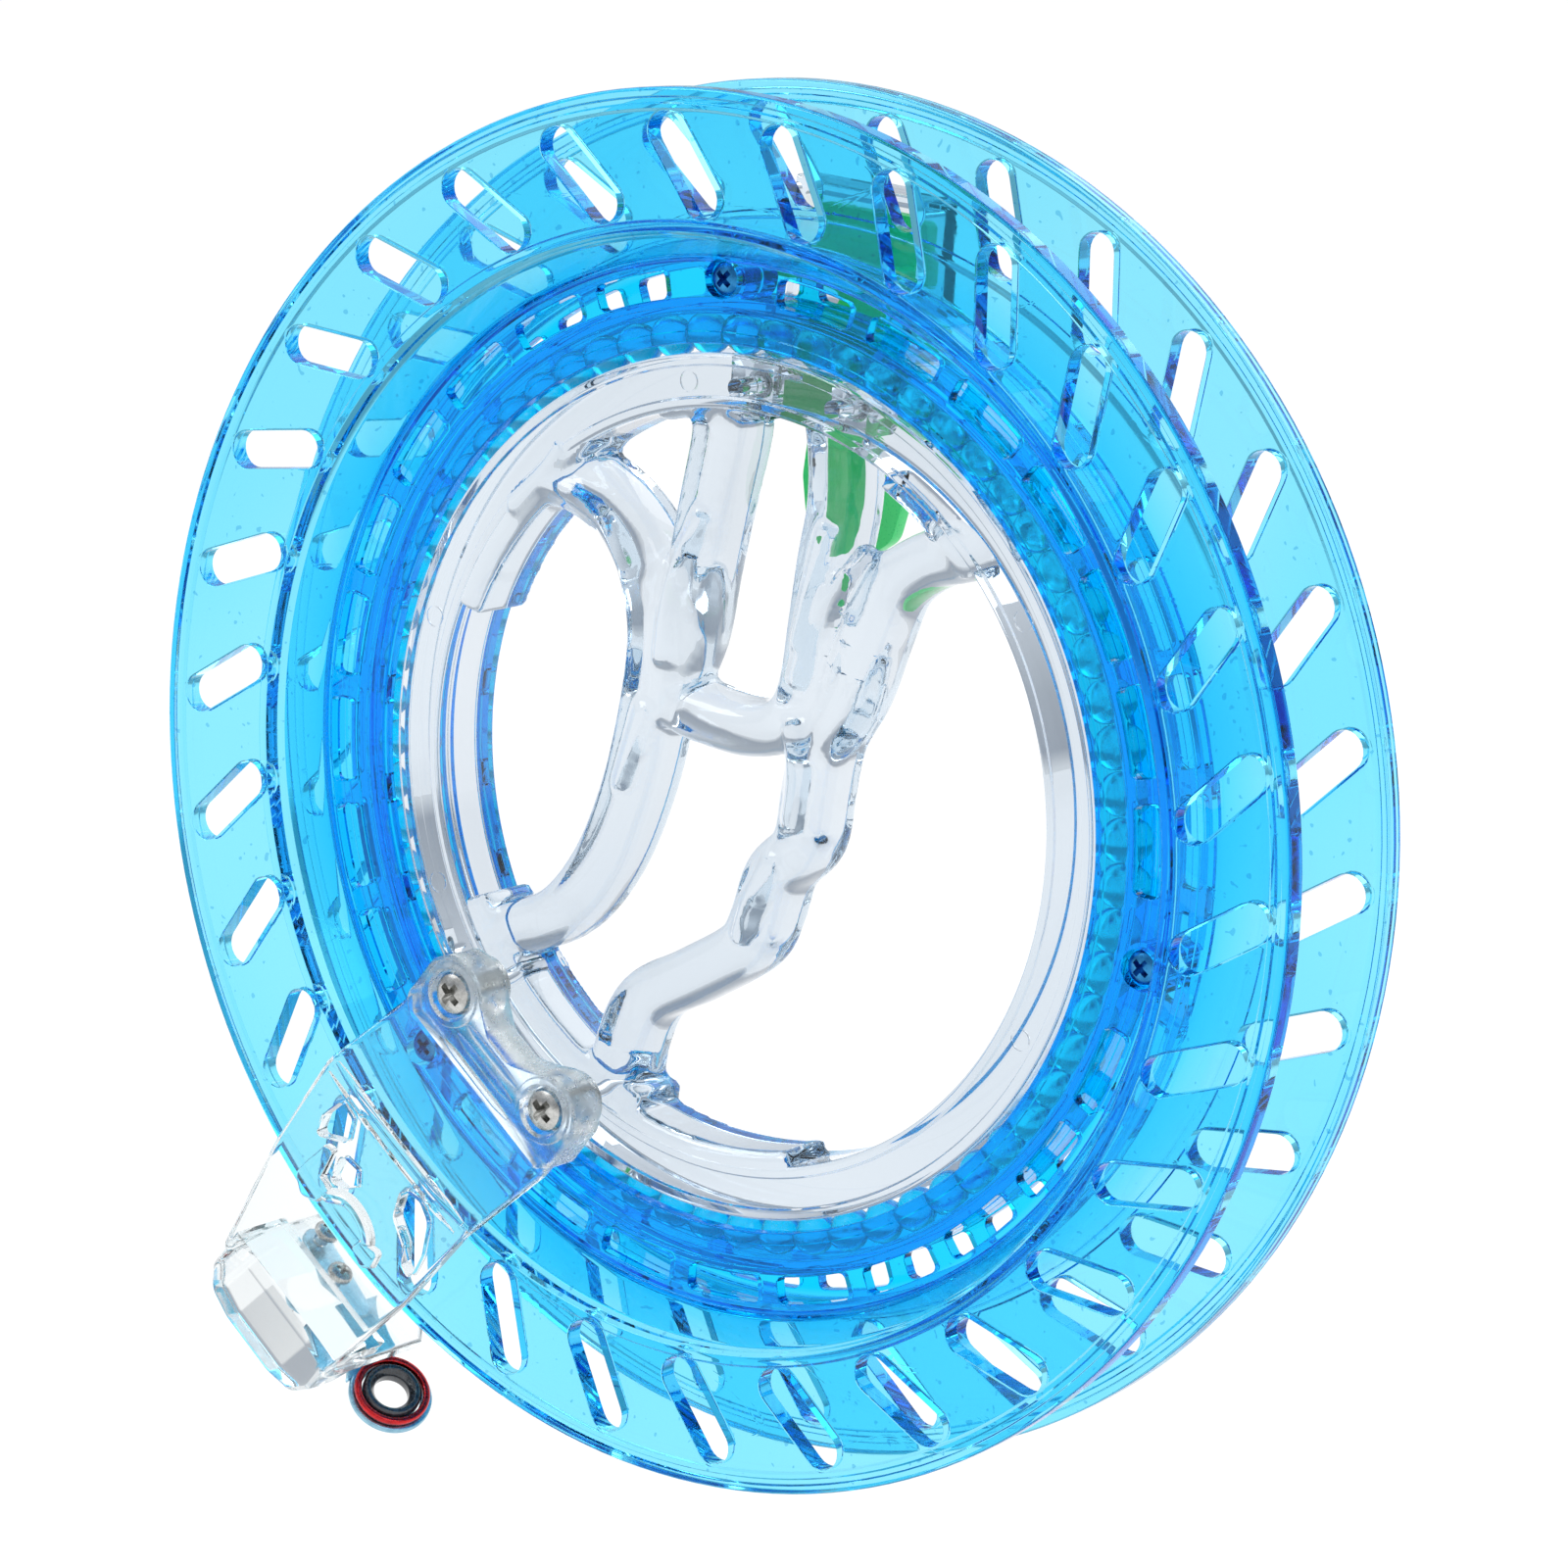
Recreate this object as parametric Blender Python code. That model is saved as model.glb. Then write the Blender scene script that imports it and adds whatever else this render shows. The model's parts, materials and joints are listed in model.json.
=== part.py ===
"""A ball-bearing kite-line reel: a dished two-half spool that spins on a clear hand grip.

All sizes below are millimetres. The meshes are scaled to metres as each object is finished.
The spool's axis is Y, the front is -Y, +Z is up, and the origin is the spool's centre.
"depth" is measured from the spool's front face towards the rear, so y = depth - SPOOL_WIDTH / 2.
"""

import math

import bmesh
import bpy
from mathutils import Vector

MM = 0.001
GAP = 0.3
RING_SEGMENTS = 60
RING_PHASE = 0.37

# Spool
SPOOL_WIDTH = 30.9
FLANGE_RADIUS = 110.0
FLANGE_BACK_DEPTH = 3.8
BAND_RECESS = 0.5
RIM_INNER_RADIUS = 107.6
BEAD_RADIUS = 88.7
BEAD_HALF_WIDTH = 0.9
DISH_RADIUS = 83.2
WEB_DEPTH = 9.0
WEB_THICKNESS = 2.2
DRUM_RADIUS = 85.4
DRUM_WALL = 2.4

SLOT_COUNT = 30
SLOT_RADIUS = 98.1
SLOT_PHASE_DEG = 174.5
SLOT_TILT_DEG = 34.0
SLOT_LENGTH = 18.5
SLOT_WIDTH = 6.2

WINDOW_COUNT = 28
WINDOW_PHASE_DEG = 90.0
WINDOW_ARC_DEG = 10.0
WINDOW_INNER_RADIUS = 77.2
WINDOW_OUTER_RADIUS = 81.6

BOSS_WINDOWS = (0, 10, 20)
BOSS_PITCH_RADIUS = 80.2
BOSS_RADIUS = 3.8
SPOOL_SCREW_HEAD_RADIUS = 2.7
SPOOL_SCREW_SHANK_RADIUS = 1.1

# Bearing
BALL_COUNT = 64
BALL_RADIUS = 3.5
BALL_PITCH_RADIUS = 71.4
LIP_RADIUS = 70.2
LIP_THICKNESS = 2.5
RACE_WALL = 2.0

# Hub grip
HUB_FRONT_DEPTH = 10.5
HUB_REAR_DEPTH = 25.0
HUB_OUTER_RADIUS = 68.6
HUB_INNER_RADIUS = 60.0
GROOVE_RADIUS = BALL_PITCH_RADIUS - BALL_RADIUS - GAP
BAR_HALF_DEPTH = 6.2

# Guide arm, laid out along its own radial line
ARM_ANGLE_DEG = 229.0
ARM_FRONT_DEPTH = -8.3
ARM_PLATE = 2.6
ARM_BLOCK_FRONT_DEPTH = 1.0
ARM_BLOCK_BACK_DEPTH = 8.4
ARM_BEND = 81.5
ARM_END = 126.5
ARM_END_WALL = 3.0
ARM_END_DEPTH = 20.0
ARM_ROOT_HALF_WIDTH = 19.2
ARM_END_HALF_WIDTH = 14.3
ARM_NOSE = 133.8
ARM_NOSE_DEPTH = 6.0
ARM_SCREW_RADIAL = 60.7
ARM_SCREW_SIDE = 12.6
ARM_SCREW_HEAD_RADIUS = 3.6

# Line guide on the arm's end
GUIDE_CENTRE = (129.8, 19.2, 9.0)
GUIDE_TILT_DEG = 19.0
GUIDE_OUTER_RADIUS = 7.15
GUIDE_PLATE = 1.2
BEZEL_OUTER_RADIUS = 6.5
BEZEL_INNER_RADIUS = 5.3
INSERT_OUTER_RADIUS = 5.0
INSERT_BORE_RADIUS = 3.0
GUIDE_SCREWS = ((-10.0, 14.4), (-1.8, 10.6))

# Brake, laid out along its own radial line, half-way between two of the spool's windows
BRAKE_ANGLE_DEG = WINDOW_PHASE_DEG - 180.0 / WINDOW_COUNT
HOUSING_HALF_WIDTH = 13.3
HOUSING_WALL = 2.0
HOUSING_INNER = 57.8
HOUSING_OUTER = 94.0
HOUSING_FRONT_DEPTH = 31.9
HOUSING_BACK_DEPTH = 41.1
HOUSING_BACK_PLATE = 1.7
BASE_OUTER = 70.5
CHANNEL_HALF_WIDTH = 5.7
CHANNEL_FLOOR_DEPTH = 26.9
HOUSING_SCREW_RADIAL = 62.0
HOUSING_SCREW_SIDE = 9.4
HOUSING_SCREW_HEAD_DEPTH = 31.2
PIVOT_RADIAL = 66.6
PIVOT_DEPTH = 30.0
PIN_RADIUS = 1.2
LEVER_THICKNESS = 2.6
LEVER_BARREL_RADIUS = 2.3
STEM_HALF_WIDTH = 5.0
SHOE_HALF_WIDTH = 10.3
SHOE_INNER = 79.0
SHOE_OUTER = 90.0
SHOE_DEPTH = 36.4
TAB_INNER = 35.5
TAB_OUTER = 57.2
TAB_HALF_WIDTH = 10.0
TAB_DEPTH = 36.2
TOOTH_RADIAL = (79.3, 81.5)
TOOTH_SIDE = (6.2, 10.0)
TOOTH_TIP_DEPTH = 23.2
SPRING_RADIUS = 2.0
SPRING_WIRE = 0.25
SPRING_NOTCH = 1.4

# Grip bars: a route of (x, z) points in the hub's plane and the bar's half-widths at its two ends
GRIP_BARS = {
    "outer_finger_bar": (
        ((-41.5, 49.0), (-36.0, 46.5), (-28.9, 43.6), (-22.0, 37.6), (-18.6, 29.4), (-18.0, 20.0),
         (-20.6, 6.8), (-24.4, -5.0), (-30.0, -16.0), (-37.7, -24.5), (-46.6, -28.2), (-58.0, -29.6)),
        5.2, 4.6),
    "upper_bar": (
        ((-4.2, 64.5), (-4.5, 55.5), (-7.2, 45.0), (-10.2, 33.0), (-12.6, 22.0), (-17.5, 12.5)),
        5.4, 4.2),
    "palm_bar": (
        ((-18.0, 15.5), (-12.5, 11.6), (-6.0, 10.0), (1.0, 9.3), (7.8, 11.0), (11.6, 16.5),
         (13.7, 27.4), (15.4, 37.0), (17.4, 46.0), (17.6, 54.0), (16.5, 63.5)),
        4.4, 4.6),
    "thumb_bar": (
        ((47.5, 43.0), (41.5, 40.6), (34.8, 38.8), (27.6, 34.0), (23.6, 26.0), (19.6, 16.5),
         (14.6, 8.8), (12.4, 0.5), (10.6, -7.9), (5.2, -13.3), (2.4, -20.6), (-1.0, -26.0),
         (-11.3, -31.9), (-20.6, -36.8), (-24.8, -44.1), (-26.5, -51.0), (-28.5, -58.0)),
        4.6, 4.8),
}
# Thickened arcs inside the hub ring: start angle, end angle, inner radius
HUB_PADS = ((118.0, 156.0, 55.5), (204.0, 254.0, 55.0), (250.0, 281.0, 57.2), (40.0, 60.0, 57.0))


def y_of(depth):
    return depth - SPOOL_WIDTH / 2


def polar(radius, degrees):
    angle = math.radians(degrees)
    return radius * math.cos(angle), radius * math.sin(angle)


def material(name, colour, roughness, metallic=0.0, clear=0.0):
    made = bpy.data.materials.new(name)
    made.use_nodes = True
    shader = made.node_tree.nodes["Principled BSDF"]
    shader.inputs["Base Color"].default_value = (*colour, 1.0)
    shader.inputs["Roughness"].default_value = roughness
    shader.inputs["Metallic"].default_value = metallic
    shader.inputs["Transmission Weight"].default_value = clear
    made.diffuse_color = (*colour, 1.0)
    return made


def finish(bm, name, look=None, origin=(0.0, 0.0, 0.0)):
    """Turns a millimetre bmesh into an object in metres with its origin at the given point."""
    bmesh.ops.recalc_face_normals(bm, faces=bm.faces[:])
    bmesh.ops.translate(bm, verts=bm.verts[:], vec=-Vector(origin))
    bmesh.ops.scale(bm, verts=bm.verts[:], vec=(MM, MM, MM))
    mesh = bpy.data.meshes.new(name)
    bm.to_mesh(mesh)
    bm.free()
    mesh.shade_smooth()
    mesh.set_sharp_from_angle(angle=math.radians(35.0))
    made = bpy.data.objects.new(name, mesh)
    made.location = Vector(origin) * MM
    if look:
        mesh.materials.append(look)
    bpy.context.scene.collection.objects.link(made)
    return made


def combine(target, operation, bm, name):
    """Adds a Boolean to the target, with the bmesh as its hidden operand."""
    operand = finish(bm, name)
    operand.hide_render = True
    operand.display_type = "WIRE"
    modifier = target.modifiers.new(name, "BOOLEAN")
    modifier.operation = operation
    modifier.solver = "EXACT"
    modifier.object = operand


def loft(bm, rings, closed_ends=True, loop=False):
    """Joins rings of equal length with quads, and caps the two ends."""
    made = [[bm.verts.new(point) for point in ring] for ring in rings]
    pairs = list(zip(made, made[1:]))
    if loop:
        pairs.append((made[-1], made[0]))
    for first, second in pairs:
        count = len(first)
        for i in range(count):
            j = (i + 1) % count
            bm.faces.new((first[i], first[j], second[j], second[i]))
    if closed_ends and not loop:
        bm.faces.new(made[0])
        bm.faces.new(list(reversed(made[-1])))


def revolve(bm, profile, segments=RING_SEGMENTS):
    """Turns a closed profile of (radius, depth) points about the spool's axis."""
    rings = []
    for step in range(segments):
        angle = 2 * math.pi * (step + RING_PHASE) / segments
        rings.append([(r * math.cos(angle), y_of(d), r * math.sin(angle)) for r, d in profile])
    loft(bm, rings, loop=True)


def prism(bm, outline, low, high):
    """Extrudes an (x, z) outline between two depths."""
    loft(bm, [[(x, y_of(d), z) for x, z in outline] for d in (low, high)])


class RadialFrame:
    """A frame on a radial line: radial distance, sideways distance and depth, in that order."""

    def __init__(self, degrees):
        angle = math.radians(degrees)
        self.radial = Vector((math.cos(angle), 0.0, math.sin(angle)))
        self.side = Vector((-math.sin(angle), 0.0, math.cos(angle)))

    def point(self, radial, side, depth):
        return self.radial * radial + self.side * side + Vector((0.0, y_of(depth), 0.0))

    def box(self, bm, radial, side, depth):
        """A box from three (low, high) pairs."""
        rings = []
        for d in depth:
            corners = ((radial[0], side[0]), (radial[1], side[0]), (radial[1], side[1]), (radial[0], side[1]))
            rings.append([self.point(r, s, d) for r, s in corners])
        loft(bm, rings)

    def plan(self, bm, outline, low, high):
        """Extrudes a (radial, side) outline between two depths."""
        loft(bm, [[self.point(r, s, d) for r, s in outline] for d in (low, high)])

    def profile(self, bm, outline, low, high):
        """Extrudes a (radial, depth) outline between two sideways distances."""
        loft(bm, [[self.point(r, s, d) for r, d in outline] for s in (low, high)])


ARM = RadialFrame(ARM_ANGLE_DEG)
BRAKE = RadialFrame(BRAKE_ANGLE_DEG)


def cylinder(bm, start, end, radius, sides=12):
    start = Vector(start)
    end = Vector(end)
    axis = (end - start).normalized()
    across = axis.orthogonal().normalized()
    other = axis.cross(across)
    circle = []
    for i in range(sides):
        angle = 2 * math.pi * (i + 0.5) / sides
        circle.append((across * math.cos(angle) + other * math.sin(angle)) * radius)
    loft(bm, [[point + spoke for spoke in circle] for point in (start, end)])


def screw(bm, start, end, head_radius, head_height, shank_radius):
    """A pan-head screw as one turned body: its head starts at start, and its tip is at end."""
    start = Vector(start)
    end = Vector(end)
    axis = (end - start).normalized()
    across = axis.orthogonal().normalized()
    other = axis.cross(across)
    steps = (
        (start, head_radius * 0.72),
        (start + axis * head_height * 0.4, head_radius),
        (start + axis * head_height, head_radius),
        (start + axis * head_height, shank_radius),
        (end - axis * shank_radius, shank_radius),
        (end, shank_radius * 0.3),
    )
    rings = []
    for point, radius in steps:
        ring = []
        for i in range(10):
            angle = 2 * math.pi * i / 10
            ring.append(point + (across * math.cos(angle) + other * math.sin(angle)) * radius)
        rings.append(ring)
    loft(bm, rings)


def smooth_route(points, per_span):
    """Points on a Catmull-Rom curve through the given ones, ends included."""
    padded = [Vector(points[0]) * 2 - Vector(points[1])]
    padded += [Vector(p) for p in points]
    padded.append(Vector(points[-1]) * 2 - Vector(points[-2]))
    route = []
    for i in range(1, len(padded) - 2):
        a, b, c, d = padded[i - 1: i + 3]
        for step in range(per_span):
            t = step / per_span
            route.append(((2 * b) + (c - a) * t + (2 * a - 5 * b + 4 * c - d) * t ** 2
                          + (3 * b - a - 3 * c + d) * t ** 3) * 0.5)
    route.append(Vector(points[-1]))
    return route


def sector(inner, outer, start, end, steps):
    """The outline of a piece of a flat ring."""
    angles = [start + (end - start) * i / steps for i in range(steps + 1)]
    return [polar(outer, a) for a in angles] + [polar(inner, a) for a in reversed(angles)]


def slot_outline(degrees):
    """A stadium-shaped slot, leaning from the radial line."""
    cx, cz = polar(SLOT_RADIUS, degrees)
    lean = math.radians(degrees + SLOT_TILT_DEG)
    along = Vector((math.cos(lean), math.sin(lean)))
    half = (SLOT_LENGTH - SLOT_WIDTH) / 2
    outline = []
    for side in (1, -1):
        centre = Vector((cx, cz)) + along * half * side
        for i in range(4):
            turn = lean + (0 if side > 0 else math.pi) + math.radians(-90 + 60 * i)
            outline.append(centre + Vector((math.cos(turn), math.sin(turn))) * SLOT_WIDTH / 2)
    return outline


def window_angles(front):
    """Middle angle of each window. The rear half keeps them all, for the brake's teeth."""
    filled = BOSS_WINDOWS if front else ()
    return [WINDOW_PHASE_DEG + 360.0 / WINDOW_COUNT * i for i in range(WINDOW_COUNT) if i not in filled]


def boss_angles():
    return [WINDOW_PHASE_DEG + 360.0 / WINDOW_COUNT * i for i in BOSS_WINDOWS]


def half_profile():
    """The front half's section, from the rim inwards along the front and back along the inside."""
    split = SPOOL_WIDTH / 2 - GAP / 2
    web_back = WEB_DEPTH + WEB_THICKNESS
    race_radius = BALL_PITCH_RADIUS + BALL_RADIUS + GAP
    race_outer = race_radius + RACE_WALL
    lip_back = WEB_DEPTH + LIP_THICKNESS
    bead_out = BEAD_RADIUS + BEAD_HALF_WIDTH
    bead_in = BEAD_RADIUS - BEAD_HALF_WIDTH
    return [
        (FLANGE_RADIUS, 0.4), (FLANGE_RADIUS - 0.4, 0.0), (RIM_INNER_RADIUS, 0.0),
        (RIM_INNER_RADIUS - 0.4, BAND_RECESS), (bead_out + 0.4, BAND_RECESS), (bead_out, 0.0),
        (bead_in, 0.0), (bead_in - 0.5, BAND_RECESS), (DISH_RADIUS, WEB_DEPTH),
        (LIP_RADIUS, WEB_DEPTH), (LIP_RADIUS, lip_back), (race_radius, lip_back),
        (race_radius, split), (race_outer, split), (race_outer, web_back),
        (DRUM_RADIUS - DRUM_WALL, web_back), (DRUM_RADIUS - DRUM_WALL, split), (DRUM_RADIUS, split),
        (DRUM_RADIUS, 10.0), (BEAD_RADIUS, FLANGE_BACK_DEPTH), (FLANGE_RADIUS - 0.4, FLANGE_BACK_DEPTH),
        (FLANGE_RADIUS, FLANGE_BACK_DEPTH - 0.4),
    ]


def mirrored(profile):
    return [(r, SPOOL_WIDTH - d) for r, d in reversed(profile)]


def spool_half(name, front, look):
    """One half of the spool. The front half's screw bosses take the place of three windows."""
    bm = bmesh.new()
    revolve(bm, half_profile() if front else mirrored(half_profile()))
    half = finish(bm, name, look)

    def depth(d):
        return d if front else SPOOL_WIDTH - d

    bm = bmesh.new()
    for angle in boss_angles():
        x, z = polar(BOSS_PITCH_RADIUS, angle)
        cylinder(bm, (x, y_of(depth(WEB_DEPTH + 0.6)), z), (x, y_of(depth(SPOOL_WIDTH / 2 - 0.3)), z), BOSS_RADIUS)
    combine(half, "UNION", bm, name + "_bosses")

    bm = bmesh.new()
    for i in range(SLOT_COUNT):
        prism(bm, slot_outline(SLOT_PHASE_DEG + 360.0 / SLOT_COUNT * i), depth(-2.0), depth(6.0))
    for angle in window_angles(front):
        outline = sector(WINDOW_INNER_RADIUS + 0.1, WINDOW_OUTER_RADIUS, angle - WINDOW_ARC_DEG / 2,
                         angle + WINDOW_ARC_DEG / 2, 1)
        prism(bm, outline, depth(WEB_DEPTH - 2.0), depth(WEB_DEPTH + WEB_THICKNESS + 0.3))
    combine(half, "DIFFERENCE", bm, name + "_openings")

    bm = bmesh.new()
    for angle in boss_angles():
        x, z = polar(BOSS_PITCH_RADIUS, angle)
        cylinder(bm, (x, y_of(10.0), z), (x, y_of(20.0), z), SPOOL_SCREW_SHANK_RADIUS + 0.35, 8)
    combine(half, "DIFFERENCE", bm, name + "_screw_holes")
    if front:
        bm = bmesh.new()
        for angle in boss_angles():
            x, z = polar(BOSS_PITCH_RADIUS, angle)
            cylinder(bm, (x, y_of(8.0), z), (x, y_of(11.4), z), SPOOL_SCREW_HEAD_RADIUS + 0.4, 12)
        combine(half, "DIFFERENCE", bm, name + "_counterbores")
    return half


def spool_screws(look):
    for number, angle in enumerate(boss_angles(), 1):
        x, z = polar(BOSS_PITCH_RADIUS, angle)
        bm = bmesh.new()
        screw(bm, (x, y_of(9.5), z), (x, y_of(19.0), z), SPOOL_SCREW_HEAD_RADIUS, 1.6, SPOOL_SCREW_SHANK_RADIUS)
        finish(bm, f"spool_screw_{number}", look)


def ball_train(look):
    """The full set of balls, as one string of beads: a wide ring at each ball, a thin one between."""
    bm = bmesh.new()
    rings = []
    for step in range(BALL_COUNT * 2):
        angle = math.pi * step / BALL_COUNT
        radius = BALL_RADIUS if step % 2 == 0 else 1.0
        outward = Vector((math.cos(angle), 0.0, math.sin(angle)))
        centre = outward * BALL_PITCH_RADIUS
        ring = []
        for i in range(6):
            turn = math.pi * i / 3
            ring.append(centre + outward * radius * math.cos(turn) + Vector((0.0, radius * math.sin(turn), 0.0)))
        rings.append(ring)
    loft(bm, rings, loop=True)
    finish(bm, "ball_train", look)


def hub_profile():
    return [
        (HUB_OUTER_RADIUS, HUB_FRONT_DEPTH + 0.5), (HUB_OUTER_RADIUS - 0.5, HUB_FRONT_DEPTH),
        (HUB_INNER_RADIUS + 0.5, HUB_FRONT_DEPTH), (HUB_INNER_RADIUS, HUB_FRONT_DEPTH + 0.5),
        (HUB_INNER_RADIUS, HUB_REAR_DEPTH - 0.5), (HUB_INNER_RADIUS + 0.5, HUB_REAR_DEPTH),
        (HUB_OUTER_RADIUS - 0.5, HUB_REAR_DEPTH), (HUB_OUTER_RADIUS, HUB_REAR_DEPTH - 0.5),
        (HUB_OUTER_RADIUS, 18.8), (GROOVE_RADIUS, 17.2), (GROOVE_RADIUS, 13.7), (HUB_OUTER_RADIUS, 12.1),
    ]


def grip_bar(bm, route, first, last):
    """A bar of oval section swept along a route in the hub's plane."""
    middle = (HUB_FRONT_DEPTH + HUB_REAR_DEPTH) / 2
    points = smooth_route(route, 2)
    rings = []
    for i, point in enumerate(points):
        ahead = points[min(i + 1, len(points) - 1)]
        behind = points[max(i - 1, 0)]
        along = (ahead - behind).normalized()
        across = Vector((along.y, 0.0, -along.x))
        width = first + (last - first) * i / (len(points) - 1)
        centre = Vector((point.x, y_of(middle), point.y))
        ring = []
        for step in range(8):
            turn = math.pi * (step + 0.5) / 4
            ring.append(centre + across * width * math.cos(turn)
                        + Vector((0.0, BAR_HALF_DEPTH * math.sin(turn), 0.0)))
        rings.append(ring)
    loft(bm, rings)


def hub_grip(look):
    bm = bmesh.new()
    revolve(bm, hub_profile())
    hub = finish(bm, "hub_grip", look)
    for number, (start, end, inner) in enumerate(HUB_PADS):
        bm = bmesh.new()
        prism(bm, sector(inner, HUB_INNER_RADIUS + 1.5, start, end, 8), 11.6 + 0.3 * number, 23.6 - 0.2 * number)
        combine(hub, "UNION", bm, f"hub_pad_{number}")
    for name, (route, first, last) in GRIP_BARS.items():
        bm = bmesh.new()
        grip_bar(bm, route, first, last)
        combine(hub, "UNION", bm, name)
    bm = bmesh.new()
    for side in (-1, 1):
        cylinder(bm, ARM.point(ARM_SCREW_RADIAL, ARM_SCREW_SIDE * side, 8.0),
                 ARM.point(ARM_SCREW_RADIAL, ARM_SCREW_SIDE * side, 21.0), 1.65, 8)
        cylinder(bm, BRAKE.point(HOUSING_SCREW_RADIAL, HOUSING_SCREW_SIDE * side, 27.0),
                 BRAKE.point(HOUSING_SCREW_RADIAL, HOUSING_SCREW_SIDE * side, 19.0), 1.5, 8)
    combine(hub, "DIFFERENCE", bm, "hub_screw_holes")
    return hub


# (radial, sideways) outlines of the holes through the plate
ARM_OPENINGS = (
    ((85.2, -12.6), (85.6, -9.1), (89.4, -7.4), (90.9, -9.4), (93.4, -12.5), (89.8, -13.6)),
    ((92.0, -6.6), (91.4, -2.8), (93.6, -1.2), (96.4, -3.2), (96.8, -5.6)),
    ((86.2, 5.4), (84.9, 9.4), (86.3, 12.6), (91.5, 15.3), (96.6, 16.2), (95.8, 13.6), (93.0, 11.6), (91.2, 7.4)),
)


def arm_plan():
    """The arm seen from the front: two lobes round the screws, then a plate that tapers to its nose."""
    side = [
        (58.6, 5.0), (56.6, 8.0), (55.4, 12.0), (56.4, 16.0), (59.6, 18.6), (64.0, ARM_ROOT_HALF_WIDTH),
        (ARM_BEND + 0.9, ARM_ROOT_HALF_WIDTH - 0.1), (100.5, 18.2), (ARM_END - 3.3, ARM_END_HALF_WIDTH + 0.1),
        (129.8, ARM_END_HALF_WIDTH - 0.3), (132.4, 11.6), (134.6, 7.4),
    ]
    return [(r, -s) for r, s in side] + [(r, s) for r, s in reversed(side)]


def arm_side():
    """The arm seen from its side: block, ramp, plate, nose and end wall, as (radial, depth) points."""
    inner_wall = ARM_END - ARM_END_WALL
    back = ARM_FRONT_DEPTH + ARM_PLATE
    return [
        (54.0, ARM_BLOCK_FRONT_DEPTH), (69.5, ARM_BLOCK_FRONT_DEPTH), (ARM_BEND, ARM_FRONT_DEPTH),
        (ARM_NOSE - 1.5, ARM_FRONT_DEPTH), (ARM_NOSE, ARM_FRONT_DEPTH + 1.5), (ARM_NOSE, ARM_FRONT_DEPTH + 6.8),
        (ARM_END, ARM_NOSE_DEPTH), (ARM_END, ARM_END_DEPTH),
        (inner_wall, ARM_END_DEPTH), (inner_wall, back), (ARM_BEND + 1.1, back), (69.6, 4.6),
        (69.2, ARM_BLOCK_BACK_DEPTH), (54.0, ARM_BLOCK_BACK_DEPTH),
    ]


def guide_arm(look):
    bm = bmesh.new()
    ARM.profile(bm, arm_side(), -24.0, 24.0)
    arm = finish(bm, "guide_arm", look)
    bm = bmesh.new()
    ARM.plan(bm, arm_plan(), -14.0, 30.0)
    combine(arm, "INTERSECT", bm, "arm_outline")
    bm = bmesh.new()
    for side in (-1, 1):
        cylinder(bm, ARM.point(ARM_SCREW_RADIAL, ARM_SCREW_SIDE * side, ARM_BLOCK_BACK_DEPTH - 1.0),
                 ARM.point(ARM_SCREW_RADIAL, ARM_SCREW_SIDE * side, HUB_FRONT_DEPTH - GAP), 5.0)
    combine(arm, "UNION", bm, "arm_feet")
    bm = bmesh.new()
    for side in (-1, 1):
        cylinder(bm, ARM.point(ARM_SCREW_RADIAL, ARM_SCREW_SIDE * side, -2.0),
                 ARM.point(ARM_SCREW_RADIAL, ARM_SCREW_SIDE * side, 12.0), 1.9, 10)
    for side, depth in GUIDE_SCREWS:
        cylinder(bm, ARM.point(ARM_END - 5.0, side, depth), ARM.point(ARM_END + 2.0, side, depth), 1.3, 8)
    for opening in ARM_OPENINGS:
        ARM.plan(bm, opening, -12.0, -2.0)
    combine(arm, "DIFFERENCE", bm, "arm_openings")
    bm = bmesh.new()
    for side in (-1, 1):
        cylinder(bm, ARM.point(ARM_SCREW_RADIAL, ARM_SCREW_SIDE * side, -3.0),
                 ARM.point(ARM_SCREW_RADIAL, ARM_SCREW_SIDE * side, 3.0), ARM_SCREW_HEAD_RADIUS + 0.4, 16)
    combine(arm, "DIFFERENCE", bm, "arm_counterbores")
    return arm


def arm_screws(look):
    for number, side in enumerate((-1, 1), 1):
        bm = bmesh.new()
        screw(bm, ARM.point(ARM_SCREW_RADIAL, ARM_SCREW_SIDE * side, 0.5),
              ARM.point(ARM_SCREW_RADIAL, ARM_SCREW_SIDE * side, 20.0), ARM_SCREW_HEAD_RADIUS, 2.2, 1.35)
        finish(bm, f"arm_screw_{number}", look)


def guide_axes():
    """The eyelet's centre, its axis towards the spool, and its two in-plane directions."""
    tilt = math.radians(GUIDE_TILT_DEG)
    inward = -ARM.radial * math.cos(tilt) + Vector((0.0, -math.sin(tilt), 0.0))
    rearward = -ARM.radial * math.sin(tilt) + Vector((0.0, math.cos(tilt), 0.0))
    return ARM.point(*GUIDE_CENTRE), inward, ARM.side, rearward


def eyelet_ring(bm, profile, sides=20):
    """Turns a closed profile of (radius, offset along the axis) points about the eyelet's axis."""
    centre, inward, across, rearward = guide_axes()
    rings = []
    for i in range(sides):
        angle = 2 * math.pi * i / sides
        spoke = across * math.cos(angle) + rearward * math.sin(angle)
        rings.append([centre + spoke * r + inward * h for r, h in profile])
    loft(bm, rings, loop=True)


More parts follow.
